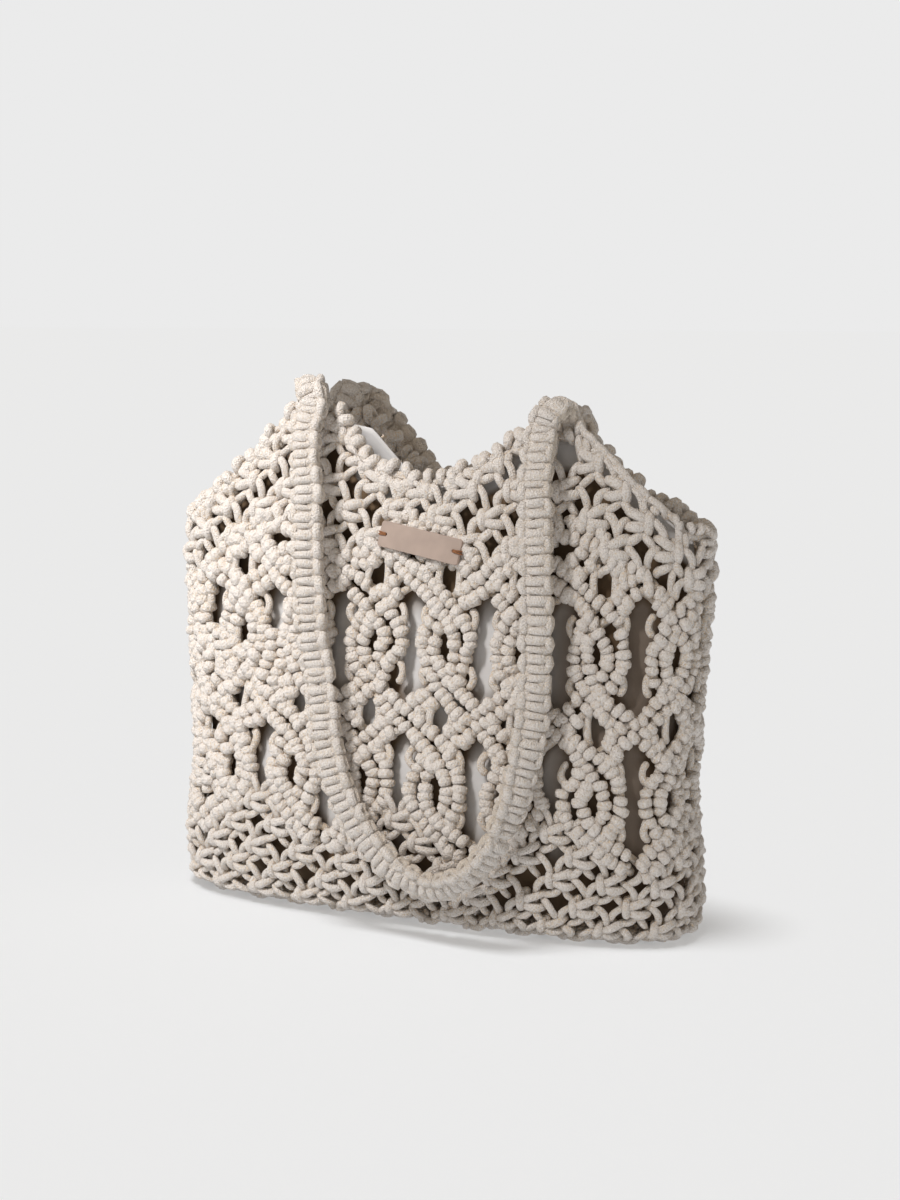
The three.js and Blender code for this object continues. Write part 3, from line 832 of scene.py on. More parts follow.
def rim_shape(front):
    """Half of the rim: loops over a cord along it, and in front laid cords down the right slope."""
    u = np.linspace(0, AROUND, RIM_SAMPLES)
    v = rim_at(u)
    run = lengths_along(np.column_stack([u, v]))
    slope = np.gradient(v, u)
    x = place(np.column_stack([u, v, 0 * u]))[:, 0]
    in_half = (np.cos(u / AROUND * TURN) > 0) == front
    bare = in_half & front & (x > BARE_RIM[0]) & (x < BARE_RIM[1])
    loop, laid, leader = Shape(), Shape(), Shape()
    add_cord(loop, RIM_LOOP, RIM_LOOP_RADIUS, RIM_LOOP_ENDS)
    add_cord(laid, LAID_CORD, LAID_RADIUS, BAR_ENDS)
    shapes = []
    count = int(run[-1] / RIM_STEP / 2)
    for start, below, deeper in RIM_ROWS:
        at = (np.arange(count) + start) * run[-1] / count + RANDOM.normal(0, RIM_CHANCE["along"], count)
        turn = RIM_TILT * np.arctan(np.interp(at, run, slope)) + RANDOM.normal(0, RIM_CHANCE["turn"], count)
        turn += (RIM_LEAN if start < 0.5 else -RIM_LEAN) * (1 + below / LEAN_DOUBLES)
        across = np.interp(at, run, x)
        thin = step_up(across / MM, *THIN_RIM_FROM) * front
        size = 1 + RANDOM.normal(0, RIM_CHANCE["size"], count) - THINNER * thin
        height = np.interp(at, run, v) - below * MM
        height += RANDOM.normal(-RIM_LOOP_SUNK, RIM_CHANCE["height"], count)
        lift = RANDOM.normal(0, RIM_CHANCE["lift"], count) - deeper * MM
        kept = (np.interp(at, run, in_half) > 0.5) & (np.interp(at, run, bare) < 0.5)
        kept &= (below == 0) | (across < RIGHT_PEAK["x"])
        loops = np.stack([np.interp(at, run, u), height, turn, size, lift])
        shapes.append(spread(loop.done(), *loops[:, kept]))
    if front:
        at = np.arange(run[bare].min(), run[bare].max(), LAID_STEP)
        turn, size, lift = [RANDOM.normal(0, LAID_CHANCE[key], len(at)) for key in ("turn", "size", "lift")]
        turn += np.arctan(np.interp(at, run, slope))
        height = np.interp(at, run, v) - RIM_LOOP_SUNK
        shapes.append(spread(laid.done(), np.interp(at, run, u), height, turn, 1 + size, lift))
    around = np.linspace(-AROUND / 4, AROUND / 4, RIM_LEADER_STEPS) + (0 if front else AROUND / 2)
    deep = np.full(RIM_LEADER_STEPS, -RIM_LEADER_DEPTH)
    along = drifted(np.column_stack([around, rim_at(around) - RIM_LEADER_BELOW, deep]))
    leader.add_tube(along, LEADER_RADIUS, THIN_SIDES)
    return joined([*shapes, leader.done()])


# The seam along the middle of the underside, where the last cords are tied off: bars across it

SEAM_LEVEL = -45 * MM
SEAM_PITCH = 4.5 * MM
SEAM_BEYOND = 6 * MM
SEAM_BAR = [(-7, 4), (-4, 2.7), (0, 2.4), (4, 2.7), (7, 4)]
SEAM_RADIUS = 2.3 * MM


def seam_shape():
    """Bars across the underside's middle, in their places."""
    half = abs(place(np.array([AROUND / 4, SEAM_LEVEL, 0.0]))[0]) + SEAM_BEYOND
    shape = Shape()
    for x in np.arange(-half, half, SEAM_PITCH):
        shape.add_tube([(x, y * MM, z * MM) for y, z in SEAM_BAR], SEAM_RADIUS, THIN_SIDES)
    return shape.done()


# Straps: flat sinnets of square knots, from inside one peak, over the rim, down and up to the other

STRAP_THICKNESS = 11 * MM
STRAP_WIDTH = 19 * MM
STRAP_FOLD_RADIUS = 8 * MM
STRAP_RISE = 2 * MM
STRAP_STAND = 12 * MM
STRAP_LOW = {"front_strap": 31 * MM, "back_strap": 42 * MM}
FOLD_STEPS = 5
STRAP_SAMPLES = 900
NO_GAP = 1e-4
CLEARANCE = 0.35 * MM
SINNET_PITCH = 10.4 * MM

# Where each strap runs between its folds, as in the part's source: how far across, as a share of the peaks'
# mean distance from the middle, how far down from a peak to the lowest point, how far out, as a share of
# STRAP_STAND, and its turn in degrees
STRAP_ROUTE = {
    "front_strap": [
        (-0.89, 0.06, 0.9, -6), (-0.8, 0.2, 1.0, -14), (-0.73, 0.41, 0.8, -16), (-0.6, 0.63, 0.5, -14),
        (-0.46, 0.78, 0.35, -8), (-0.24, 0.9, 0.3, 0), (0.06, 0.98, 0.3, 12), (0.36, 1.0, 0.3, 30),
        (0.64, 0.955, 0.3, 52), (0.86, 0.86, 0.3, 58), (0.98, 0.73, 0.4, 34), (1.03, 0.55, 0.7, 12),
        (1.01, 0.34, 0.9, 4), (0.96, 0.18, 1.0, 0), (0.93, 0.06, 0.9, 0),
    ],
    "back_strap": [
        (-0.84, 0.01, 0.9, 0), (-0.68, 0.07, 1.0, 4), (-0.5, 0.15, 1.0, 6), (-0.42, 0.36, 0.7, 8),
        (-0.36, 0.6, 0.4, 14), (-0.22, 0.82, 0.5, 26), (0.02, 0.95, 0.6, 34), (0.34, 1.0, 0.6, 32),
        (0.66, 0.93, 0.5, 14), (0.86, 0.8, 0.4, 4), (0.97, 0.6, 0.5, 0), (1.02, 0.36, 0.8, 0),
        (1.02, 0.14, 1.0, 0),
    ],
}
STRAP_FACING = {"front_strap": -1, "back_strap": 1}


def face_y(x, z, facing):
    """The outer face's place from front to back, over a place across the bag at a height."""
    height = z / LEFT_PEAK["z"]
    half = BODY_WIDTH / 2 * smooth(SECTIONS, HALF, height)
    depth = BODY_DEPTH * smooth(SECTIONS, FRONT if facing < 0 else BACK, height)
    share = min(abs(x) / half, 1) ** SQUARENESS
    return BODY_DEPTH * smooth(SECTIONS, SEAM, height) + facing * depth * (1 - share) ** (1 / SQUARENESS)


def fold(peak, facing, towards):
    """A strap's start, up from the rim and over in a half circle: points, and where its flat side faces."""
    rim = face_y(peak["x"], peak["z"], facing) - facing * WALL / 2
    seat = peak["z"] + CLEARANCE
    made = [((peak["x"], rim, seat), (0, -facing, 0))]
    for k in range(FOLD_STEPS + 1):
        angle = k / FOLD_STEPS * math.pi
        x = peak["x"] + (towards - peak["x"]) * (k / FOLD_STEPS) ** 2
        y = rim + facing * STRAP_FOLD_RADIUS * (1 - math.cos(angle))
        z = seat + STRAP_RISE + STRAP_FOLD_RADIUS * math.sin(angle)
        made.append(((x, y, z), (0, -facing * math.cos(angle), math.sin(angle))))
    return made


def strap_route(name):
    """Points, outward directions and twists along a strap."""
    facing = STRAP_FACING[name]
    scale = (RIGHT_PEAK["x"] - LEFT_PEAK["x"]) / 2
    middle = (RIGHT_PEAK["x"] + LEFT_PEAK["x"]) / 2
    legs = []
    for across, drop, stand, turn in STRAP_ROUTE[name]:
        x = middle + across * scale
        top = LEFT_PEAK["z"] + (RIGHT_PEAK["z"] - LEFT_PEAK["z"]) * (across + 1) / 2
        z = top + (STRAP_LOW[name] - top) * drop
        angle = math.radians(turn)
        reach = (STRAP_THICKNESS * math.cos(angle) + STRAP_WIDTH * abs(math.sin(angle))) / 2
        y = face_y(x, z, facing) + facing * (stand * STRAP_STAND + reach)
        legs.append(((x, y, z), (0, facing, 0), angle))
    left = [(*k, 0) for k in fold(LEFT_PEAK, facing, legs[0][0][0])]
    right = [(*k, 0) for k in fold(RIGHT_PEAK, facing, legs[-1][0][0])]
    route = left + legs + right[::-1]
    return [np.array([k[i] for k in route], float) for i in range(3)]


def spaced_curve(points, t):
    """A centripetal Catmull-Rom curve through points, at shares of their number, as in the part's source."""
    p = np.concatenate([[2 * points[0] - points[1]], points, [2 * points[-1] - points[-2]]])
    at = t * (len(points) - 1)
    i = np.minimum(at.astype(int), len(points) - 2)
    s = (at - i)[:, None]
    a, b, c, d = p[i], p[i + 1], p[i + 2], p[i + 3]
    gaps = [np.sum((q - r) ** 2, 1) ** 0.25 for q, r in ((b, a), (c, b), (d, c))]
    middle = np.where(gaps[1] < NO_GAP, 1, gaps[1])
    first, last = (np.where(g < NO_GAP, middle, g)[:, None] for g in (gaps[0], gaps[2]))
    middle = middle[:, None]
    enter = middle * ((b - a) / first - (c - a) / (first + middle) + (c - b) / middle)
    leave = middle * ((c - b) / middle - (d - b) / (middle + last) + (d - c) / last)
    square, cube = 3 * (c - b) - 2 * enter - leave, enter + leave - 2 * (c - b)
    return b + enter * s + square * s**2 + cube * s**3


def strap_frames(name):
    """Lengths along a strap, its centreline, and the directions across it and out of its flat side."""
    points, outs, turns = strap_route(name)
    t = np.linspace(0, 1, STRAP_SAMPLES)
    line = spaced_curve(points, t)
    run = lengths_along(line)
    tangent = np.gradient(line, run, axis=0)
    tangent /= np.linalg.norm(tangent, axis=1, keepdims=True)
    wide = np.cross(spaced_curve(outs, t), tangent)
    wide /= np.linalg.norm(wide, axis=1, keepdims=True)
    twist = smooth(np.column_stack([np.linspace(0, 1, len(turns)), turns]), 1, t)[:, None]
    wide = wide * np.cos(twist) + np.cross(tangent, wide) * np.sin(twist)
    return run, line, wide, np.cross(tangent, wide)


# One unit of a sinnet, in millimetres across the strap, out of its flat side and along it, with each line's
# radii. The back is the front turned round.
SINNET_BAR = [
    (-7, -0.8, 2.7), (-5.7, 1.5, 2.7), (-4, 2.75, 2.65), (-1.5, 3.3, 2.6), (1.2, 3.15, 2.55),
    (3.3, 2.2, 2.4), (4.7, 0.2, 2.3),
]
SINNET_TURN = [(-6.1, -0.6, -4.1), (-7.2, 1.2, -3), (-7.5, 1.9, 0), (-7.2, 1.2, 3), (-6.1, -0.6, 4.1)]
SINNET_TAB = [
    (4.6, -1.6, -4.6), (5.8, 1.2, -4.4), (6.5, 2.9, -2.8), (6.7, 3.4, 0), (6.5, 2.9, 2.8), (5.8, 1.2, 4.4),
    (4.6, -1.6, 4.6),
]
BAR_RADII = [2.0, 2.25, 2.5, 2.6, 2.55, 2.3, 2.0]
TURN_RADII = [1.7, 2.05, 2.2, 2.05, 1.7]
TAB_RADII = [1.7, 2.1, 2.55, 2.75, 2.55, 2.1, 1.7]
BAR_SQUARENESS = 2.5
BAR_SLANT = 0.07

# Two filler cords inside, this far from the middle
STRAP_FILLER = 3.1 * MM
FILLER_RADIUS = 4.1 * MM
FILLER_STEPS = 130
FILLER_END = 2 * MM

# How the units differ by chance, how much of their shift is out of the flat side, and small waves over the
# strap: size, number, and growth of the phase along and across
UNIT_CHANCE = {"shift": 0.36 * MM, "size": 0.02}
SHIFT_OUT = 0.4
STRAP_WAVES = {"size": 0.2 * MM, "waves": 24, "along": (120, 900), "across": (-150, 150)}

# The strap's inner side gets painted shade, as if it lay this much deeper, from this far below its middle.
INNER_PAINTED_SHADE = 8 * MM
INNER_FROM = 2 * MM


def sinnet_unit():
    """A unit's cords. Its Y runs along the strap and its Z out of it."""
    cords = []
    for flip in (1, -1):
        bar = [(a, b, flip * s + BAR_SLANT * a * (flip < 0)) for a, b, s in SINNET_BAR]
        cords.append((bar, BAR_RADII, BAR_SQUARENESS))
    cords += [(SINNET_TURN, TURN_RADII, 2.0), (SINNET_TAB, TAB_RADII, 2.0)]
    shape = Shape()
    for turned in (1, -1):
        for points, radii, squareness in cords:
            shape.add_tube([(turned * a, s, turned * b) for a, b, s in points], radii, squareness=squareness)
    return shape.done()


def uneven_strap(points):
    """A strap's points moved by small uneven waves, so that no two bars are alike."""
    moved = points.copy()
    for n in range(STRAP_WAVES["waves"]):
        along, across = RANDOM.uniform(*STRAP_WAVES["along"]), RANDOM.uniform(*STRAP_WAVES["across"])
        phase = points[:, 1] * along + points[:, 0] * across + RANDOM.uniform(0, TURN)
        moved[:, n % 3] += STRAP_WAVES["size"] * np.sin(phase)
    return moved


def strap_piece(name, material):
    """A strap's units and filler cords, laid straight and then brought onto its centreline."""
    run, line, wide, out = strap_frames(name)
    count = round(run[-1] / SINNET_PITCH)
    step = run[-1] / count
    unit = sinnet_unit()
    unit["quad_uvs"] = unit["quad_uvs"] * [MM, 1]
    a, s, b = (unit["points"] * MM).T
    shift = RANDOM.normal(0, UNIT_CHANCE["shift"], (3, count, 1))
    along = (np.arange(count)[:, None] + 0.5) * step + s * step / SINNET_PITCH + shift[0]
    grown = 1 + RANDOM.normal(0, UNIT_CHANCE["size"], (count, 1))
    units = repeated(unit, np.stack([a * grown + shift[1], along, b + SHIFT_OUT * shift[2]], -1))
    filler = Shape()
    at = np.linspace(FILLER_END, run[-1] - FILLER_END, FILLER_STEPS)
    for side in (STRAP_FILLER, -STRAP_FILLER):
        filler.add_tube(np.column_stack([0 * at + side, at, 0 * at]), FILLER_RADIUS, THIN_SIDES)
    shape = joined([units, filler.done()])
    across, at, up = uneven_strap(shape["points"]).T
    at = np.clip(at, 0, run[-1])

    def there(values):
        """A direction or place along the strap, at each point."""
        return np.stack([np.interp(at, run, values[:, k]) for k in range(3)], -1)

    places = there(line) + across[:, None] * there(wide) + up[:, None] * there(out)
    # The depth paints shade: darker towards the strap's middle, and on its inner side.
    depth = STRAP_THICKNESS / 2 - np.abs(up) + INNER_PAINTED_SHADE * np.clip(-up / INNER_FROM, 0, 1)
    return mesh_piece(name.replace("_", "_knotted_"), shape, places, depth, material)


# Lining: a cloth bag inside the net, its top folded over into a hem

LINING_INSET = 12.6 * MM
LINING_CLOTH = 1.1 * MM
LINING_FLOOR = 10.6 * MM
LINING_BELOW_RIM = 9 * MM
LINING_COLUMNS = 240
LINING_ROWS = 60

# Its foot is drawn in up to this share of its height. Its bottom's rings are shares of the foot's.
LINING_FOOT = 7 * MM
FOOT_SHARE = 1 / 14
FLOOR_RINGS = (0.06, 0.25, 0.5, 0.75)

# The hem, which is this much thicker inside and by a share of it outside, and the height of its step
HEM_HEIGHT = 14 * MM
HEM_EXTRA = 0.6 * MM
HEM_OUT = 0.3
HEM_STEP = 1.2 * MM

# Soft folds: their waves, their depth, and how the waves' sum becomes a share of that depth
FOLDS = {"waves": 9, "around": (5, 21), "up": (8, 40), "axes": 1}
FOLD_DEPTH = 1.1 * MM
FOLD_MIDDLE, FOLD_SWING, FOLD_MOST = 0.4, 0.35, 1.6

# Painted shade on the cloth, which leaves it light behind the gaps: half a gap's width and height and how far
# below its row it lies, half a crossing's height, and how the painted shade sets in beyond
GAP_REACH = (9 * MM, 27 * MM, 5 * MM)
CROSS_REACH = 12 * MM
SHADE_FROM, SHADE_WIDTH = 0.7, 0.6

# The bag's right end, where the lining gets painted shade: the columns between which that begins and ends,
# how much painted shade the cloth gets there, and how far out it stands
DIM_FROM = (1.4, 2.3)
DIM_TO = (5, 6)
END_PAINTED_SHADE = 0.85
DIM_OUT = 1.6 * MM


def dim_side(column):
    """1 at the bag's right end, and 0 at the front and back."""
    return step_up(column, *DIM_FROM) * (1 - step_up(column, *DIM_TO))


def behind_net(u, v):
    """How much painted shade places on the lining's outer side get, from the net and at the bag's right end,
    from 0 to 1.
    """
    column = u / COLUMN
    width, height, lower = GAP_REACH
    aside = (column - np.round(column)) * COLUMN / width
    beside_slot = (column - np.floor(column) - 0.5) * COLUMN / width
    away = [np.hypot(aside, (v - height_of(row) + lower) / height) for row in (1, 2)]
    away.append(np.hypot(beside_slot, (v - height_of(1.5)) / CROSS_REACH))
    shade = np.clip((np.min(away, axis=0) - SHADE_FROM) / SHADE_WIDTH, 0, 1)
    return np.maximum(shade, END_PAINTED_SHADE * dim_side(column))


def lining_skin(top, waves, inset, hem):
    """One side of the cloth, as rings from the floor to the top. hem is how much further in the hem lies."""
    u = np.linspace(0, AROUND, LINING_COLUMNS, endpoint=False)
    rings = []
    for t in np.linspace(0, 1, LINING_ROWS + 1):
        z = np.minimum(LINING_FLOOR + inset - LINING_INSET + (top - LINING_FLOOR) * t, top)
        folds = wavy(np.column_stack([u, z]), 1.0, waves)[:, 0]
        folds = FOLD_DEPTH * np.clip(FOLD_MIDDLE + FOLD_SWING * folds, 0, FOLD_MOST) * (1 - t**3)
        in_hem = np.clip((z - (top - HEM_HEIGHT)) / HEM_STEP + 0.5, 0, 1)
        tuck = inset + folds + hem * in_hem + LINING_FOOT * max(1 - t / FOOT_SHARE, 0)
        tuck -= DIM_OUT * dim_side(u / COLUMN) * math.sin(math.pi * t)
        ring = place(np.stack([u, np.maximum(z, FOOT_RADIUS), -tuck], -1))
        ring[:, 2] = z
        rings.append(ring)
    return rings


def lining_floor(ring):
    """Rings from the middle of the lining's bottom to near its foot."""
    middle = ring.mean(0)
    return [middle + (ring - middle) * share for share in FLOOR_RINGS]


def lining_piece(material):
    """The lining as one closed cloth, whose depth attribute holds its painted shade."""
    u = np.linspace(0, AROUND, LINING_COLUMNS, endpoint=False)
    top = rim_at(u) - LINING_BELOW_RIM
    waves = chance_waves(FOLDS)
    outer = lining_skin(top, waves, LINING_INSET, -HEM_OUT * HEM_EXTRA)
    inner = lining_skin(top, waves, LINING_INSET + LINING_CLOTH, HEM_EXTRA)
    rings = np.array(lining_floor(outer[0]) + outer + inner[::-1] + lining_floor(inner[0])[::-1])
    cloth = Shape()
    cloth.add_rings(rings, np.arange(len(rings)) * 1.0)
    shape = joined([cloth.done()])
    shade = np.zeros(rings.shape[:2])
    under = len(FLOOR_RINGS)
    # The outer side's bottom gets full painted shade; the hem and the inner side get none.
    shade[:under] = 1
    for row, ring in enumerate(outer, under):
        shade[row] = behind_net(u, ring[:, 2]) * (ring[:, 2] < top - HEM_HEIGHT)
    return mesh_piece("lining_cloth_bag", shape, shape["points"], shade.ravel(), material)


# Label: a bevelled leather plate bent to the wall, and the two stitches that hold it

LABEL = {"x": 5 * MM, "z": 221 * MM, "width": 52 * MM, "height": 15 * MM, "thickness": 2.6 * MM}
LABEL_TILT = math.radians(-10)
LABEL_CORNER = 1.2 * MM
LABEL_EDGE = 0.35 * MM
LABEL_HOLE = 1.8 * MM
LABEL_HOLE_INSET = 4 * MM
LABEL_BEND = 1.2 * MM
LABEL_STAND = 0.83 * MM
LABEL_STRIPS = 16
LABEL_REACH = 4 * MM
CORNER_POINTS = 6
HOLE_POINTS = 14
WELD = 0.01 * MM
SHARP = math.radians(40)
HALVINGS = 40

# A stitch's two threads: their distance from the middle, and their line in millimetres: from the hole (0)
# or the plate's end (1), how far out from there, the share of the distance, from the plate's back (0) or
# face (1), and how far up from there
THREAD_RADIUS = 0.55 * MM
THREAD_STEPS = 3
THREAD_SHIFTS = (-0.35, 0.4)
THREAD_LINE = [
    (0, 0, 1, 0, 0.3), (0, 0, 1, 1, -0.2), (0, 0.6, 1, 1, 0.35), (1, -0.6, 1.6, 1, 0.4), (1, 0.5, 2, 1, -0.5),
    (1, 0.55, 2, 0, -0.8),
]


def around_at(x, z):
    """How far along the rows a place across the front lies."""
    low, high = -AROUND / 4, AROUND / 4
    for _ in range(HALVINGS):
        middle = (low + high) / 2
        low, high = (middle, high) if place(np.array([middle, z, 0.0]))[0] < x else (low, middle)
    return low


def label_places(points):
    """Points of the flat plate, whose back is at Z 0, brought onto the front wall and bent a little."""
    middle = np.array([around_at(LABEL["x"], LABEL["z"]), LABEL["z"], 0.0])
    origin = place(middle)
    along = place(middle + [LABEL_REACH, 0, 0]) - place(middle - [LABEL_REACH, 0, 0])
    along /= np.linalg.norm(along)
    rise = place(middle + [0, LABEL_REACH, 0]) - place(middle - [0, LABEL_REACH, 0])
    out = np.cross(along, rise)
    out /= np.linalg.norm(out)
    up = np.cross(out, along)
    x, y, w = points.T
    bend = LABEL_BEND * (2 * x / LABEL["width"]) ** 2
    c, s = math.cos(LABEL_TILT), math.sin(LABEL_TILT)
    flat = (x * c - y * s)[:, None] * along + (x * s + y * c)[:, None] * up
    return origin + flat + (w - bend + LABEL_STAND)[:, None] * out


def spline_2d(curve, outline):
    """Adds a closed line to a flat curve."""
    spline = curve.splines.new("POLY")
    spline.points.add(len(outline) - 1)
    for point, (x, y) in zip(spline.points, outline):
        point.co = (x, y, 0, 1)
    spline.use_cyclic_u = True


def flat_plate():
    """The label's mesh, flat and with its middle at the origin, cut into strips so that it can bend."""
    curve = bpy.data.curves.new("label_outline", "CURVE")
    curve.dimensions = "2D"
    curve.fill_mode = "BOTH"
    w, h = LABEL["width"] / 2 - LABEL_EDGE, LABEL["height"] / 2 - LABEL_EDGE
    outline = []
    for k, (sx, sy) in enumerate(((1, -1), (1, 1), (-1, 1), (-1, -1))):
        for angle in np.linspace(k - 1, k, CORNER_POINTS) * math.pi / 2:
            x = sx * (w - LABEL_CORNER) + LABEL_CORNER * math.cos(angle)
            outline.append((x, sy * (h - LABEL_CORNER) + LABEL_CORNER * math.sin(angle)))
    spline_2d(curve, outline)
    turns = np.linspace(0, TURN, HOLE_POINTS, endpoint=False)
    for side in (-1, 1):
        x, r = side * (LABEL["width"] / 2 - LABEL_HOLE_INSET), LABEL_HOLE / 2 + LABEL_EDGE
        spline_2d(curve, [(x + r * math.cos(t), r * math.sin(t)) for t in turns])
    curve.extrude = LABEL["thickness"] / 2 - LABEL_EDGE
    curve.bevel_depth = LABEL_EDGE
    curve.bevel_resolution = 2
    maker = put("label_maker", curve)
    mesh = bpy.data.meshes.new_from_object(maker.evaluated_get(bpy.context.evaluated_depsgraph_get()))
    bpy.data.objects.remove(maker)
    work = bmesh.new()
    work.from_mesh(mesh)
    bmesh.ops.remove_doubles(work, verts=work.verts, dist=WELD)
    for x in np.linspace(-w, w, LABEL_STRIPS + 1)[1:-1]:
        everything = list(work.verts) + list(work.edges) + list(work.faces)
        bmesh.ops.bisect_plane(work, geom=everything, plane_co=(x, 0, 0), plane_no=(1, 0, 0))
    bmesh.ops.recalc_face_normals(work, faces=work.faces)
    work.to_mesh(mesh)
    work.free()
    return mesh


def label_piece(material):
    """The leather plate, which keeps its flat coordinates for its grain."""
    mesh = flat_plate()
    points = np.array([v.co for v in mesh.vertices])
    flat = mesh.attributes.new("flat", "FLOAT_VECTOR", "POINT")
    flat.data.foreach_set("vector", points.astype(np.float32).ravel())
    places = label_places(points + [0, 0, LABEL["thickness"] / 2])
    mesh.vertices.foreach_set("co", places.astype(np.float32).ravel())
    for face in mesh.polygons:
        face.use_smooth = True
    mesh.materials.clear()
    mesh.materials.append(material)
    mesh.set_sharp_from_angle(angle=SHARP)
    mesh.update()
    return put("label_plate", mesh)


def stitch_piece(material):
    """A thread through each hole, over the plate's end and back into the net."""
    shape = Shape()
    for side in (-1, 1):
        starts = (LABEL["width"] / 2 - LABEL_HOLE_INSET, LABEL["width"] / 2)
        for shift in THREAD_SHIFTS:
            line = [
                (side * (starts[end] + x * MM), share * shift * MM, face * LABEL["thickness"] + z * MM)
                for end, x, share, face, z in THREAD_LINE
            ]
            shape.add_tube(curve_through(line, THREAD_STEPS), THREAD_RADIUS)
    shape = joined([shape.done()])
    places = label_places(shape["points"])
    return mesh_piece("label_stitches", shape, places, np.zeros(len(places)), material)


# Materials

class Nodes:
    """A new material, with short ways to add and link its nodes."""

    def __init__(self, name, roughness, sheen):
        self.material = bpy.data.materials.new(name)
        self.material.use_nodes = True
        self.tree = self.material.node_tree
        self.shader = self.tree.nodes["Principled BSDF"].inputs
        self.shader["Roughness"].default_value = roughness
        self.shader["Sheen Weight"].default_value = sheen
        self.shader["Sheen Roughness"].default_value = SHEEN_ROUGHNESS
        self.shader["Specular IOR Level"].default_value = SPECULAR

    def add(self, kind, **values):
        """A node, with these values for its sockets or settings."""
        node = self.tree.nodes.new("ShaderNode" + kind)
        for key, value in values.items():
            if key in node.inputs:
                node.inputs[key].default_value = value
            else:
                setattr(node, key, value)
        return node

    def feed(self, value, socket):
        """Links an output to a socket, or sets the socket to a number."""
        if isinstance(value, (int, float)):
            socket.default_value = value
        else:
            self.tree.links.new(value, socket)

    def math(self, operation, first, second=0.0):
        """The result of an operation on outputs or numbers."""
        node = self.add("Math", operation=operation)
        self.feed(first, node.inputs[0])
        self.feed(second, node.inputs[1])
        return node.outputs[0]

    def total(self, terms, start=0.0):
        """A number and these outputs added up, each by its share."""
        for output, share in terms:
            start = self.math("ADD", start, self.math("MULTIPLY", output, share))
        return start

    def split(self, vector):
        """A vector's three numbers."""
        node = self.add("SeparateXYZ")
        self.feed(vector, node.inputs[0])
        return node.outputs

    def texture(self, kind, where, **values):
        """A texture at these coordinates, as a number from 0 to 1."""
        node = self.add("Tex" + kind, **values)
        self.feed(where, node.inputs["Vector"])
        return node.outputs["Distance" if kind == "Voronoi" else "Fac"]

    def place(self):
        """The place on the object."""
        return self.add("TexCoord").outputs["Object"]

    def attribute(self, name, output="Fac"):
        """What the mesh stores at each point under this name."""
        return self.add("Attribute", attribute_name=name, attribute_type="GEOMETRY").outputs[output]

    def bump(self, height, strength, distance):
        """Gives the shader a relief."""
        node = self.add("Bump", Strength=strength, Distance=distance)
        self.feed(height, node.inputs["Height"])
        self.feed(node.outputs[0], self.shader["Normal"])

    def ramp(self, level, stops):
        """The colour at this level between these stops."""
        node = self.add("ValToRGB")
        elements = node.color_ramp.elements
        while len(elements) < len(stops):
            elements.new(0.5)
        for element, (at, colour) in zip(elements, stops):
            element.position = at
            element.color = (*colour, 1)
        self.feed(level, node.inputs[0])
        return node.outputs[0]

    def mix(self, factor, first, second):
        """Two colours mixed by a factor. The second is a plain colour."""
        node = self.add("Mix", data_type="RGBA")
        self.feed(factor, node.inputs["Factor"])
        colours = [socket for socket in node.inputs if socket.type == "RGBA"]
        self.feed(first, colours[0])
        colours[1].default_value = (*second, 1)
        return [socket for socket in node.outputs if socket.type == "RGBA"][0]

    def coloured(self, colour):
        """The finished material, with this output as its colour."""
        self.feed(colour, self.shader["Base Color"])
        return self.material


# Each material's roughness and sheen, and what all share
SHEEN_ROUGHNESS = 0.5
SPECULAR = 0.15
COTTON_FINISH = (0.93, 0.25)
CLOTH_FINISH = (0.9, 0.15)
LEATHER_FINISH = (0.62, 0.0)
THREAD_FINISH = (0.55, 0.2)

# The strength and depth of each material's relief
COTTON_BUMP = (1.0, 0.6 * MM)
CLOTH_BUMP = (0.35, 0.15 * MM)
LEATHER_BUMP = (0.3, 0.1 * MM)
THREAD_BUMP = (0.4, 0.1 * MM)

# The cord's braid, as waves in a turn around it and in a cord's width along it, its fuzz and its blotches,
# and the shares of its relief
BRAID_AROUND = 5
BRAID_ALONG = 4.2
FUZZ = {"Scale": 1500.0, "Detail": 2.0, "Roughness": 0.6}
FLUFF = {"Scale": 850.0, "Detail": 2.0, "Roughness": 0.6}
MOTTLE = {"Scale": 55.0, "Detail": 3.0, "Roughness": 0.6}
RELIEF = {"braid": 0.3, "fuzz": 0.6, "fluff": 2.2}

# The lining's weave and blotches, the leather's grain, pores and blotches, and the thread's twist
WEAVE = {"Scale": 420.0, "Distortion": 1.2}
WEAVE_TONE = 0.15
CLOTH_MOTTLE = {"Scale": 30.0, "Detail": 4.0}
GRAIN = {"Scale": 1500.0}
PORES = {"Scale": 900.0, "Detail": 4.0}
LEATHER_MOTTLE = {"Scale": 110.0, "Detail": 4.0}
TWIST = {"Scale": 700.0, "Distortion": 2.0}

# The cord's colours, from proud to deep, whose darker and yellower deep ones are painted shade, and their
# levels, the straps' last one, which is less yellow, and what a place's level is made of: a start and shares
# of its depth, which paints shade into recesses, blotches, tone, braid and fuzz, whose low places are painted
# darker as shade
CORD_LEVELS = (0, 0.28, 0.62, 1.0)
COTTON_AND_PAINTED_SHADE = ((0.86, 0.81, 0.77), (0.78, 0.725, 0.675), (0.785, 0.695, 0.595), (0.80, 0.64, 0.47))
STRAP_COTTON_AND_PAINTED_SHADE = (*COTTON_AND_PAINTED_SHADE[:3], COTTON_AND_PAINTED_SHADE[2])
TONE_AND_SHADE_LEVEL = {"depth": 1 / 0.011, "mottle": 0.42, "tone": 0.045, "braid": -0.12, "fuzz": -1.5, "fluff": -3.6}
LEVEL_START = 2.45

LINING_COLOURS = [(0.3, (0.69, 0.68, 0.68)), (0.75, (0.77, 0.765, 0.77))]
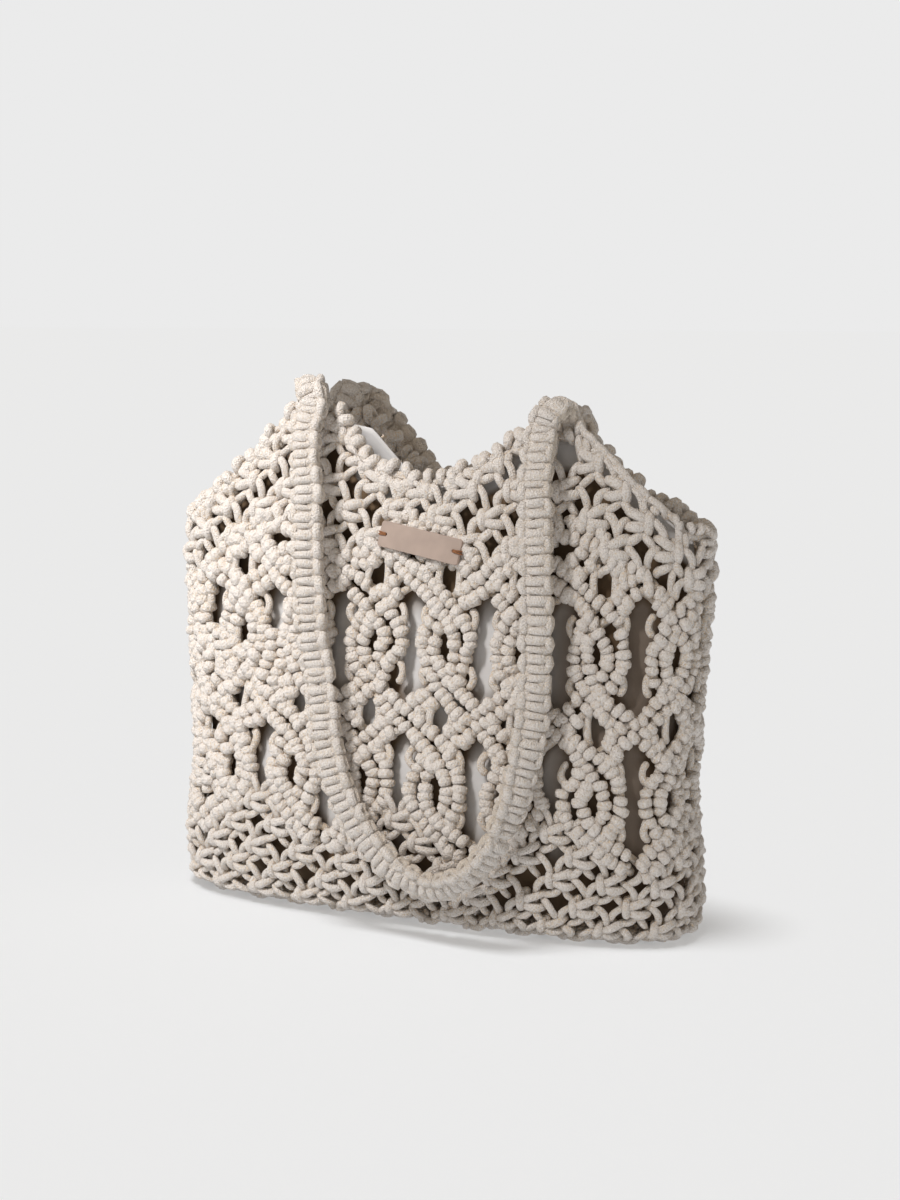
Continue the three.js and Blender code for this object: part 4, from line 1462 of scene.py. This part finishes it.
# The colour of the lining's painted shade
LINING_SHADE = (0.17, 0.115, 0.07)
LEATHER_COLOURS = [(0.3, (0.39, 0.31, 0.267)), (0.7, (0.445, 0.352, 0.303))]
CUT_EDGE = (0.51, 0.40, 0.34)
CUT_BELOW = 0.3 * MM
THREAD_COLOURS = [(0.2, (0.19, 0.075, 0.03)), (0.8, (0.34, 0.15, 0.065))]


def cord_material(name, colours):
    """Soft cotton cord: a fine braid, fuzz, tints that differ from cord to cord, and painted shade that makes
    deep places and the relief's low places darker and yellower.
    """
    nodes = Nodes(name, *COTTON_FINISH)
    along, around, _ = nodes.split(nodes.add("UVMap", uv_map="cord").outputs[0])
    along = nodes.math("MULTIPLY", along, BRAID_ALONG * TURN)
    around = nodes.math("MULTIPLY", around, BRAID_AROUND * TURN)
    waves = [nodes.math("SINE", nodes.math(operation, along, around)) for operation in ("ADD", "SUBTRACT")]
    place_of = nodes.place()
    parts = {
        "braid": nodes.math("MAXIMUM", *waves),
        "fuzz": nodes.texture("Noise", place_of, **FUZZ),
        "fluff": nodes.texture("Noise", place_of, **FLUFF),
        "mottle": nodes.texture("Noise", place_of, **MOTTLE),
        "depth": nodes.attribute("depth"),
        "tone": nodes.attribute("tone"),
    }
    nodes.bump(nodes.total([(parts[key], share) for key, share in RELIEF.items()]), *COTTON_BUMP)
    # Painted shade: the deeper a place, and the lower in the braid and fuzz, the darker and yellower its
    # colour.
    level = nodes.total([(parts[key], share) for key, share in TONE_AND_SHADE_LEVEL.items()], LEVEL_START)
    return nodes.coloured(nodes.ramp(level, list(zip(CORD_LEVELS, colours))))


def cloth_material():
    """Plain woven pale grey cotton, with painted shade from the net mixed in by its depth attribute."""
    nodes = Nodes("lining_cotton", *CLOTH_FINISH)
    place_of = nodes.place()
    threads = [nodes.texture("Wave", place_of, bands_direction=axis, **WEAVE) for axis in ("X", "Z")]
    weave = nodes.math("MULTIPLY", *threads)
    nodes.bump(weave, *CLOTH_BUMP)
    mottle = nodes.texture("Noise", place_of, **CLOTH_MOTTLE)
    colour = nodes.ramp(nodes.total([(mottle, 1.0), (weave, WEAVE_TONE)]), LINING_COLOURS)
    return nodes.coloured(nodes.mix(nodes.attribute("depth"), colour, LINING_SHADE))


def leather_material():
    """Matte dusty pink tan leather with a fine grain and a paler cut edge."""
    nodes = Nodes("label_leather", *LEATHER_FINISH)
    flat = nodes.attribute("flat", "Vector")
    grain = nodes.texture("Voronoi", flat, **GRAIN)
    pores = nodes.texture("Noise", flat, **PORES)
    nodes.bump(nodes.math("ADD", grain, pores), *LEATHER_BUMP)
    face = nodes.ramp(nodes.texture("Noise", flat, **LEATHER_MOTTLE), LEATHER_COLOURS)
    in_edge = nodes.math("LESS_THAN", nodes.split(flat)[2], LABEL["thickness"] / 2 - CUT_BELOW)
    return nodes.coloured(nodes.mix(in_edge, face, CUT_EDGE))


def thread_material():
    """Waxed brown thread."""
    nodes = Nodes("brown_thread", *THREAD_FINISH)
    twist = nodes.texture("Wave", nodes.place(), **TWIST)
    nodes.bump(twist, *THREAD_BUMP)
    return nodes.coloured(nodes.ramp(twist, THREAD_COLOURS))


# Camera, lights and floor

CAMERA_AT = (0.5024, -1.0774, 0.3534)
CAMERA_AIM = (0, 0, 0.15)
LENS = 61.23
SENSOR = 36
CAMERA_SHIFT = (0.0118, 0.0473)

# The background as the camera sees it and as it lights the bag, and the floor, which glows a little
BACKGROUND = (0.83, 0.83, 0.83)
EVEN_LIGHT = (1.0, 0.92, 0.815)
EVEN_POWER = 0.27
FLOOR_SIZE = 60
FLOOR_COLOUR = (0.585, 0.598, 0.615)
FLOOR_GLOW = 0.318

# Suns: how far round to the right of the front they stand, how high and how wide they are, in degrees, and
# their power and colour
SUNS = {
    "side": (-60, 30, 35, 0.02, (1, 1, 1)),
    "front": (-15, 50, 50, 0.19, (1, 0.84, 0.68)),
    "floor_light": (-45, 82, 16, 1.885, (1, 1, 1)),
}

# A spotlight whose edge falls along the front strap's right leg, and a soft box at the upper left
SPOT = {"power": 131, "colour": (1, 0.975, 0.955), "towards": (0.11015, 0.66422, -0.73938)}
SPOT_AT = (-0.3737, -1.0768, 1.4623)
SPOT_ANGLE = math.radians(20.1)
SPOT_BLEND = 0.12
SPOT_SOFT = 0.2
BOX = {"power": 0.15, "colour": (1, 0.99, 1), "towards": (0.73, 0.6, -0.46)}
BOX_AT = (-0.75, -0.6, 0.66)
BOX_SIZE = 1.1
OUT_OF_THE_SPOT = ("back_rim_loops", "back_knotted_strap")


def camera():
    """The camera of the photograph's view."""
    data = bpy.data.cameras.new("camera")
    data.lens = LENS
    data.sensor_width = SENSOR
    data.shift_x, data.shift_y = CAMERA_SHIFT
    made = put("camera", data)
    made.location = CAMERA_AT
    made.rotation_euler = (Vector(CAMERA_AIM) - Vector(CAMERA_AT)).to_track_quat("-Z", "Y").to_euler()
    bpy.context.scene.camera = made


def light(name, kind, lit, power, colour, towards):
    """A light that shines this way on the pieces in a collection alone."""
    data = bpy.data.lights.new(name, kind)
    data.energy = power
    data.color = colour
    made = put(name, data)
    made.rotation_euler = Vector(towards).to_track_quat("-Z", "Y").to_euler()
    made.light_linking.receiver_collection = lit
    return made


def sun(name, lit):
    """One of the far, soft lights."""
    azimuth, elevation, width, power, colour = SUNS[name]
    a, e = math.radians(azimuth), math.radians(elevation)
    towards = (-math.sin(a) * math.cos(e), math.cos(a) * math.cos(e), -math.sin(e))
    made = light(name, "SUN", lit, power, colour, towards)
    made.data.angle = math.radians(width)


def collection(name, members):
    """A collection that only says which pieces a light reaches."""
    made = bpy.data.collections.new(name)
    for member in members:
        made.objects.link(member)
    return made


def lights():
    """The lights of the bag, and the floor's own, which the bag doesn't see."""
    meshes = [piece for piece in bpy.context.scene.objects if piece.type == "MESH"]
    bag = [piece for piece in meshes if piece.name != "floor"]
    lit = collection("lit_by_bag_lights", bag)
    spotted = collection("lit_by_inner_spot", [piece for piece in bag if piece.name not in OUT_OF_THE_SPOT])
    paper = collection("lit_by_floor_light", [bpy.data.objects["floor"]])
    spot = light("inner_spot", "SPOT", spotted, **SPOT)
    spot.location = SPOT_AT
    spot.data.spot_size = SPOT_ANGLE
    spot.data.spot_blend = SPOT_BLEND
    spot.data.shadow_soft_size = SPOT_SOFT
    box = light("soft_box", "AREA", lit, **BOX)
    box.location = BOX_AT
    box.data.size = BOX_SIZE
    sun("side", lit)
    sun("front", lit)
    sun("floor_light", paper)


def surroundings():
    """The background and the floor."""
    scene = bpy.context.scene
    scene.view_settings.view_transform = "Standard"
    world = bpy.data.worlds.new("studio")
    scene.world = world
    world.use_nodes = True
    nodes, links = world.node_tree.nodes, world.node_tree.links
    nodes.clear()
    seen, even = nodes.new("ShaderNodeBackground"), nodes.new("ShaderNodeBackground")
    seen.inputs["Color"].default_value = (*BACKGROUND, 1)
    even.inputs["Color"].default_value = (*EVEN_LIGHT, 1)
    even.inputs["Strength"].default_value = EVEN_POWER
    path, mix, out = (nodes.new(f"ShaderNode{k}") for k in ("LightPath", "MixShader", "OutputWorld"))
    links.new(path.outputs["Is Camera Ray"], mix.inputs[0])
    links.new(even.outputs[0], mix.inputs[1])
    links.new(seen.outputs[0], mix.inputs[2])
    links.new(mix.outputs[0], out.inputs[0])
    floor = bpy.data.meshes.new("floor")
    h = FLOOR_SIZE / 2
    floor.from_pydata([(-h, -h, 0), (h, -h, 0), (h, h, 0), (-h, h, 0)], [], [(0, 1, 2, 3)])
    material = bpy.data.materials.new("floor_paper")
    material.use_nodes = True
    shader = material.node_tree.nodes["Principled BSDF"].inputs
    shader["Base Color"].default_value = (*FLOOR_COLOUR, 1)
    shader["Roughness"].default_value = 1
    shader["Specular IOR Level"].default_value = 0
    shader["Emission Color"].default_value = (1, 1, 1, 1)
    shader["Emission Strength"].default_value = FLOOR_GLOW
    floor.materials.append(material)
    put("floor", floor)


# The whole bag

FRONT_AND_BACK = ("front", "back")
# The rim's and the seam's depth, and so their painted shade, is kept this small.
SHALLOW_PAINTED_SHADE = 3 * MM


def on_side(places, side):
    """Which bumps are on a half of the bag: 0 the front's and 1 the back's."""
    around = np.mod(places[:, 0] / AROUND + 0.25, 1)
    return (around >= 0.5) == bool(side)


def knotted_body(material):
    """The pieces of the cord work."""
    bump, places, leaders = hitch_bands()
    pieces = []
    for side, name in enumerate(FRONT_AND_BACK):
        bumps = spread(bump, *places[on_side(places, side)].T)
        pieces.append(wall_piece(f"{name}_hitch_bands", bumps, material))
    pieces.append(wall_piece("band_leaders", joined([leaders]), material))
    for name, *part in NET_PARTS:
        pieces.append(wall_piece(name, net_shape(*part), material))
    pieces.append(wall_piece("gap_loops", gap_loops(), material))
    for name in FRONT_AND_BACK:
        pieces.append(wall_piece(f"{name}_rim_loops", rim_shape(name == "front"), material, SHALLOW_PAINTED_SHADE))
    seam = joined([seam_shape()])
    # The seam gets the same small painted shade all over.
    depth = np.full(len(seam["points"]), SHALLOW_PAINTED_SHADE)
    pieces.append(mesh_piece("underside_seam", seam, seam["points"], depth, material))
    return pieces


def main():
    """Builds the bag and its surroundings."""
    camera()
    surroundings()
    for piece in knotted_body(cord_material("cotton_cord", COTTON_AND_PAINTED_SHADE)):
        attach(piece, "root")
        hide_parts("knotted_body")
    strap_cotton = cord_material("strap_cord", STRAP_COTTON_AND_PAINTED_SHADE)
    for name in ("front_strap", "back_strap"):
        strap = strap_piece(name, strap_cotton)
        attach(strap, "root")
        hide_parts(name)
    lining = lining_piece(cloth_material())
    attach(lining, "root")
    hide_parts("lining")
    label = label_piece(leather_material())
    stitches = stitch_piece(thread_material())
    for piece in (label, stitches):
        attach(piece, "root")
    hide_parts("leather_label")
    lights()


main()
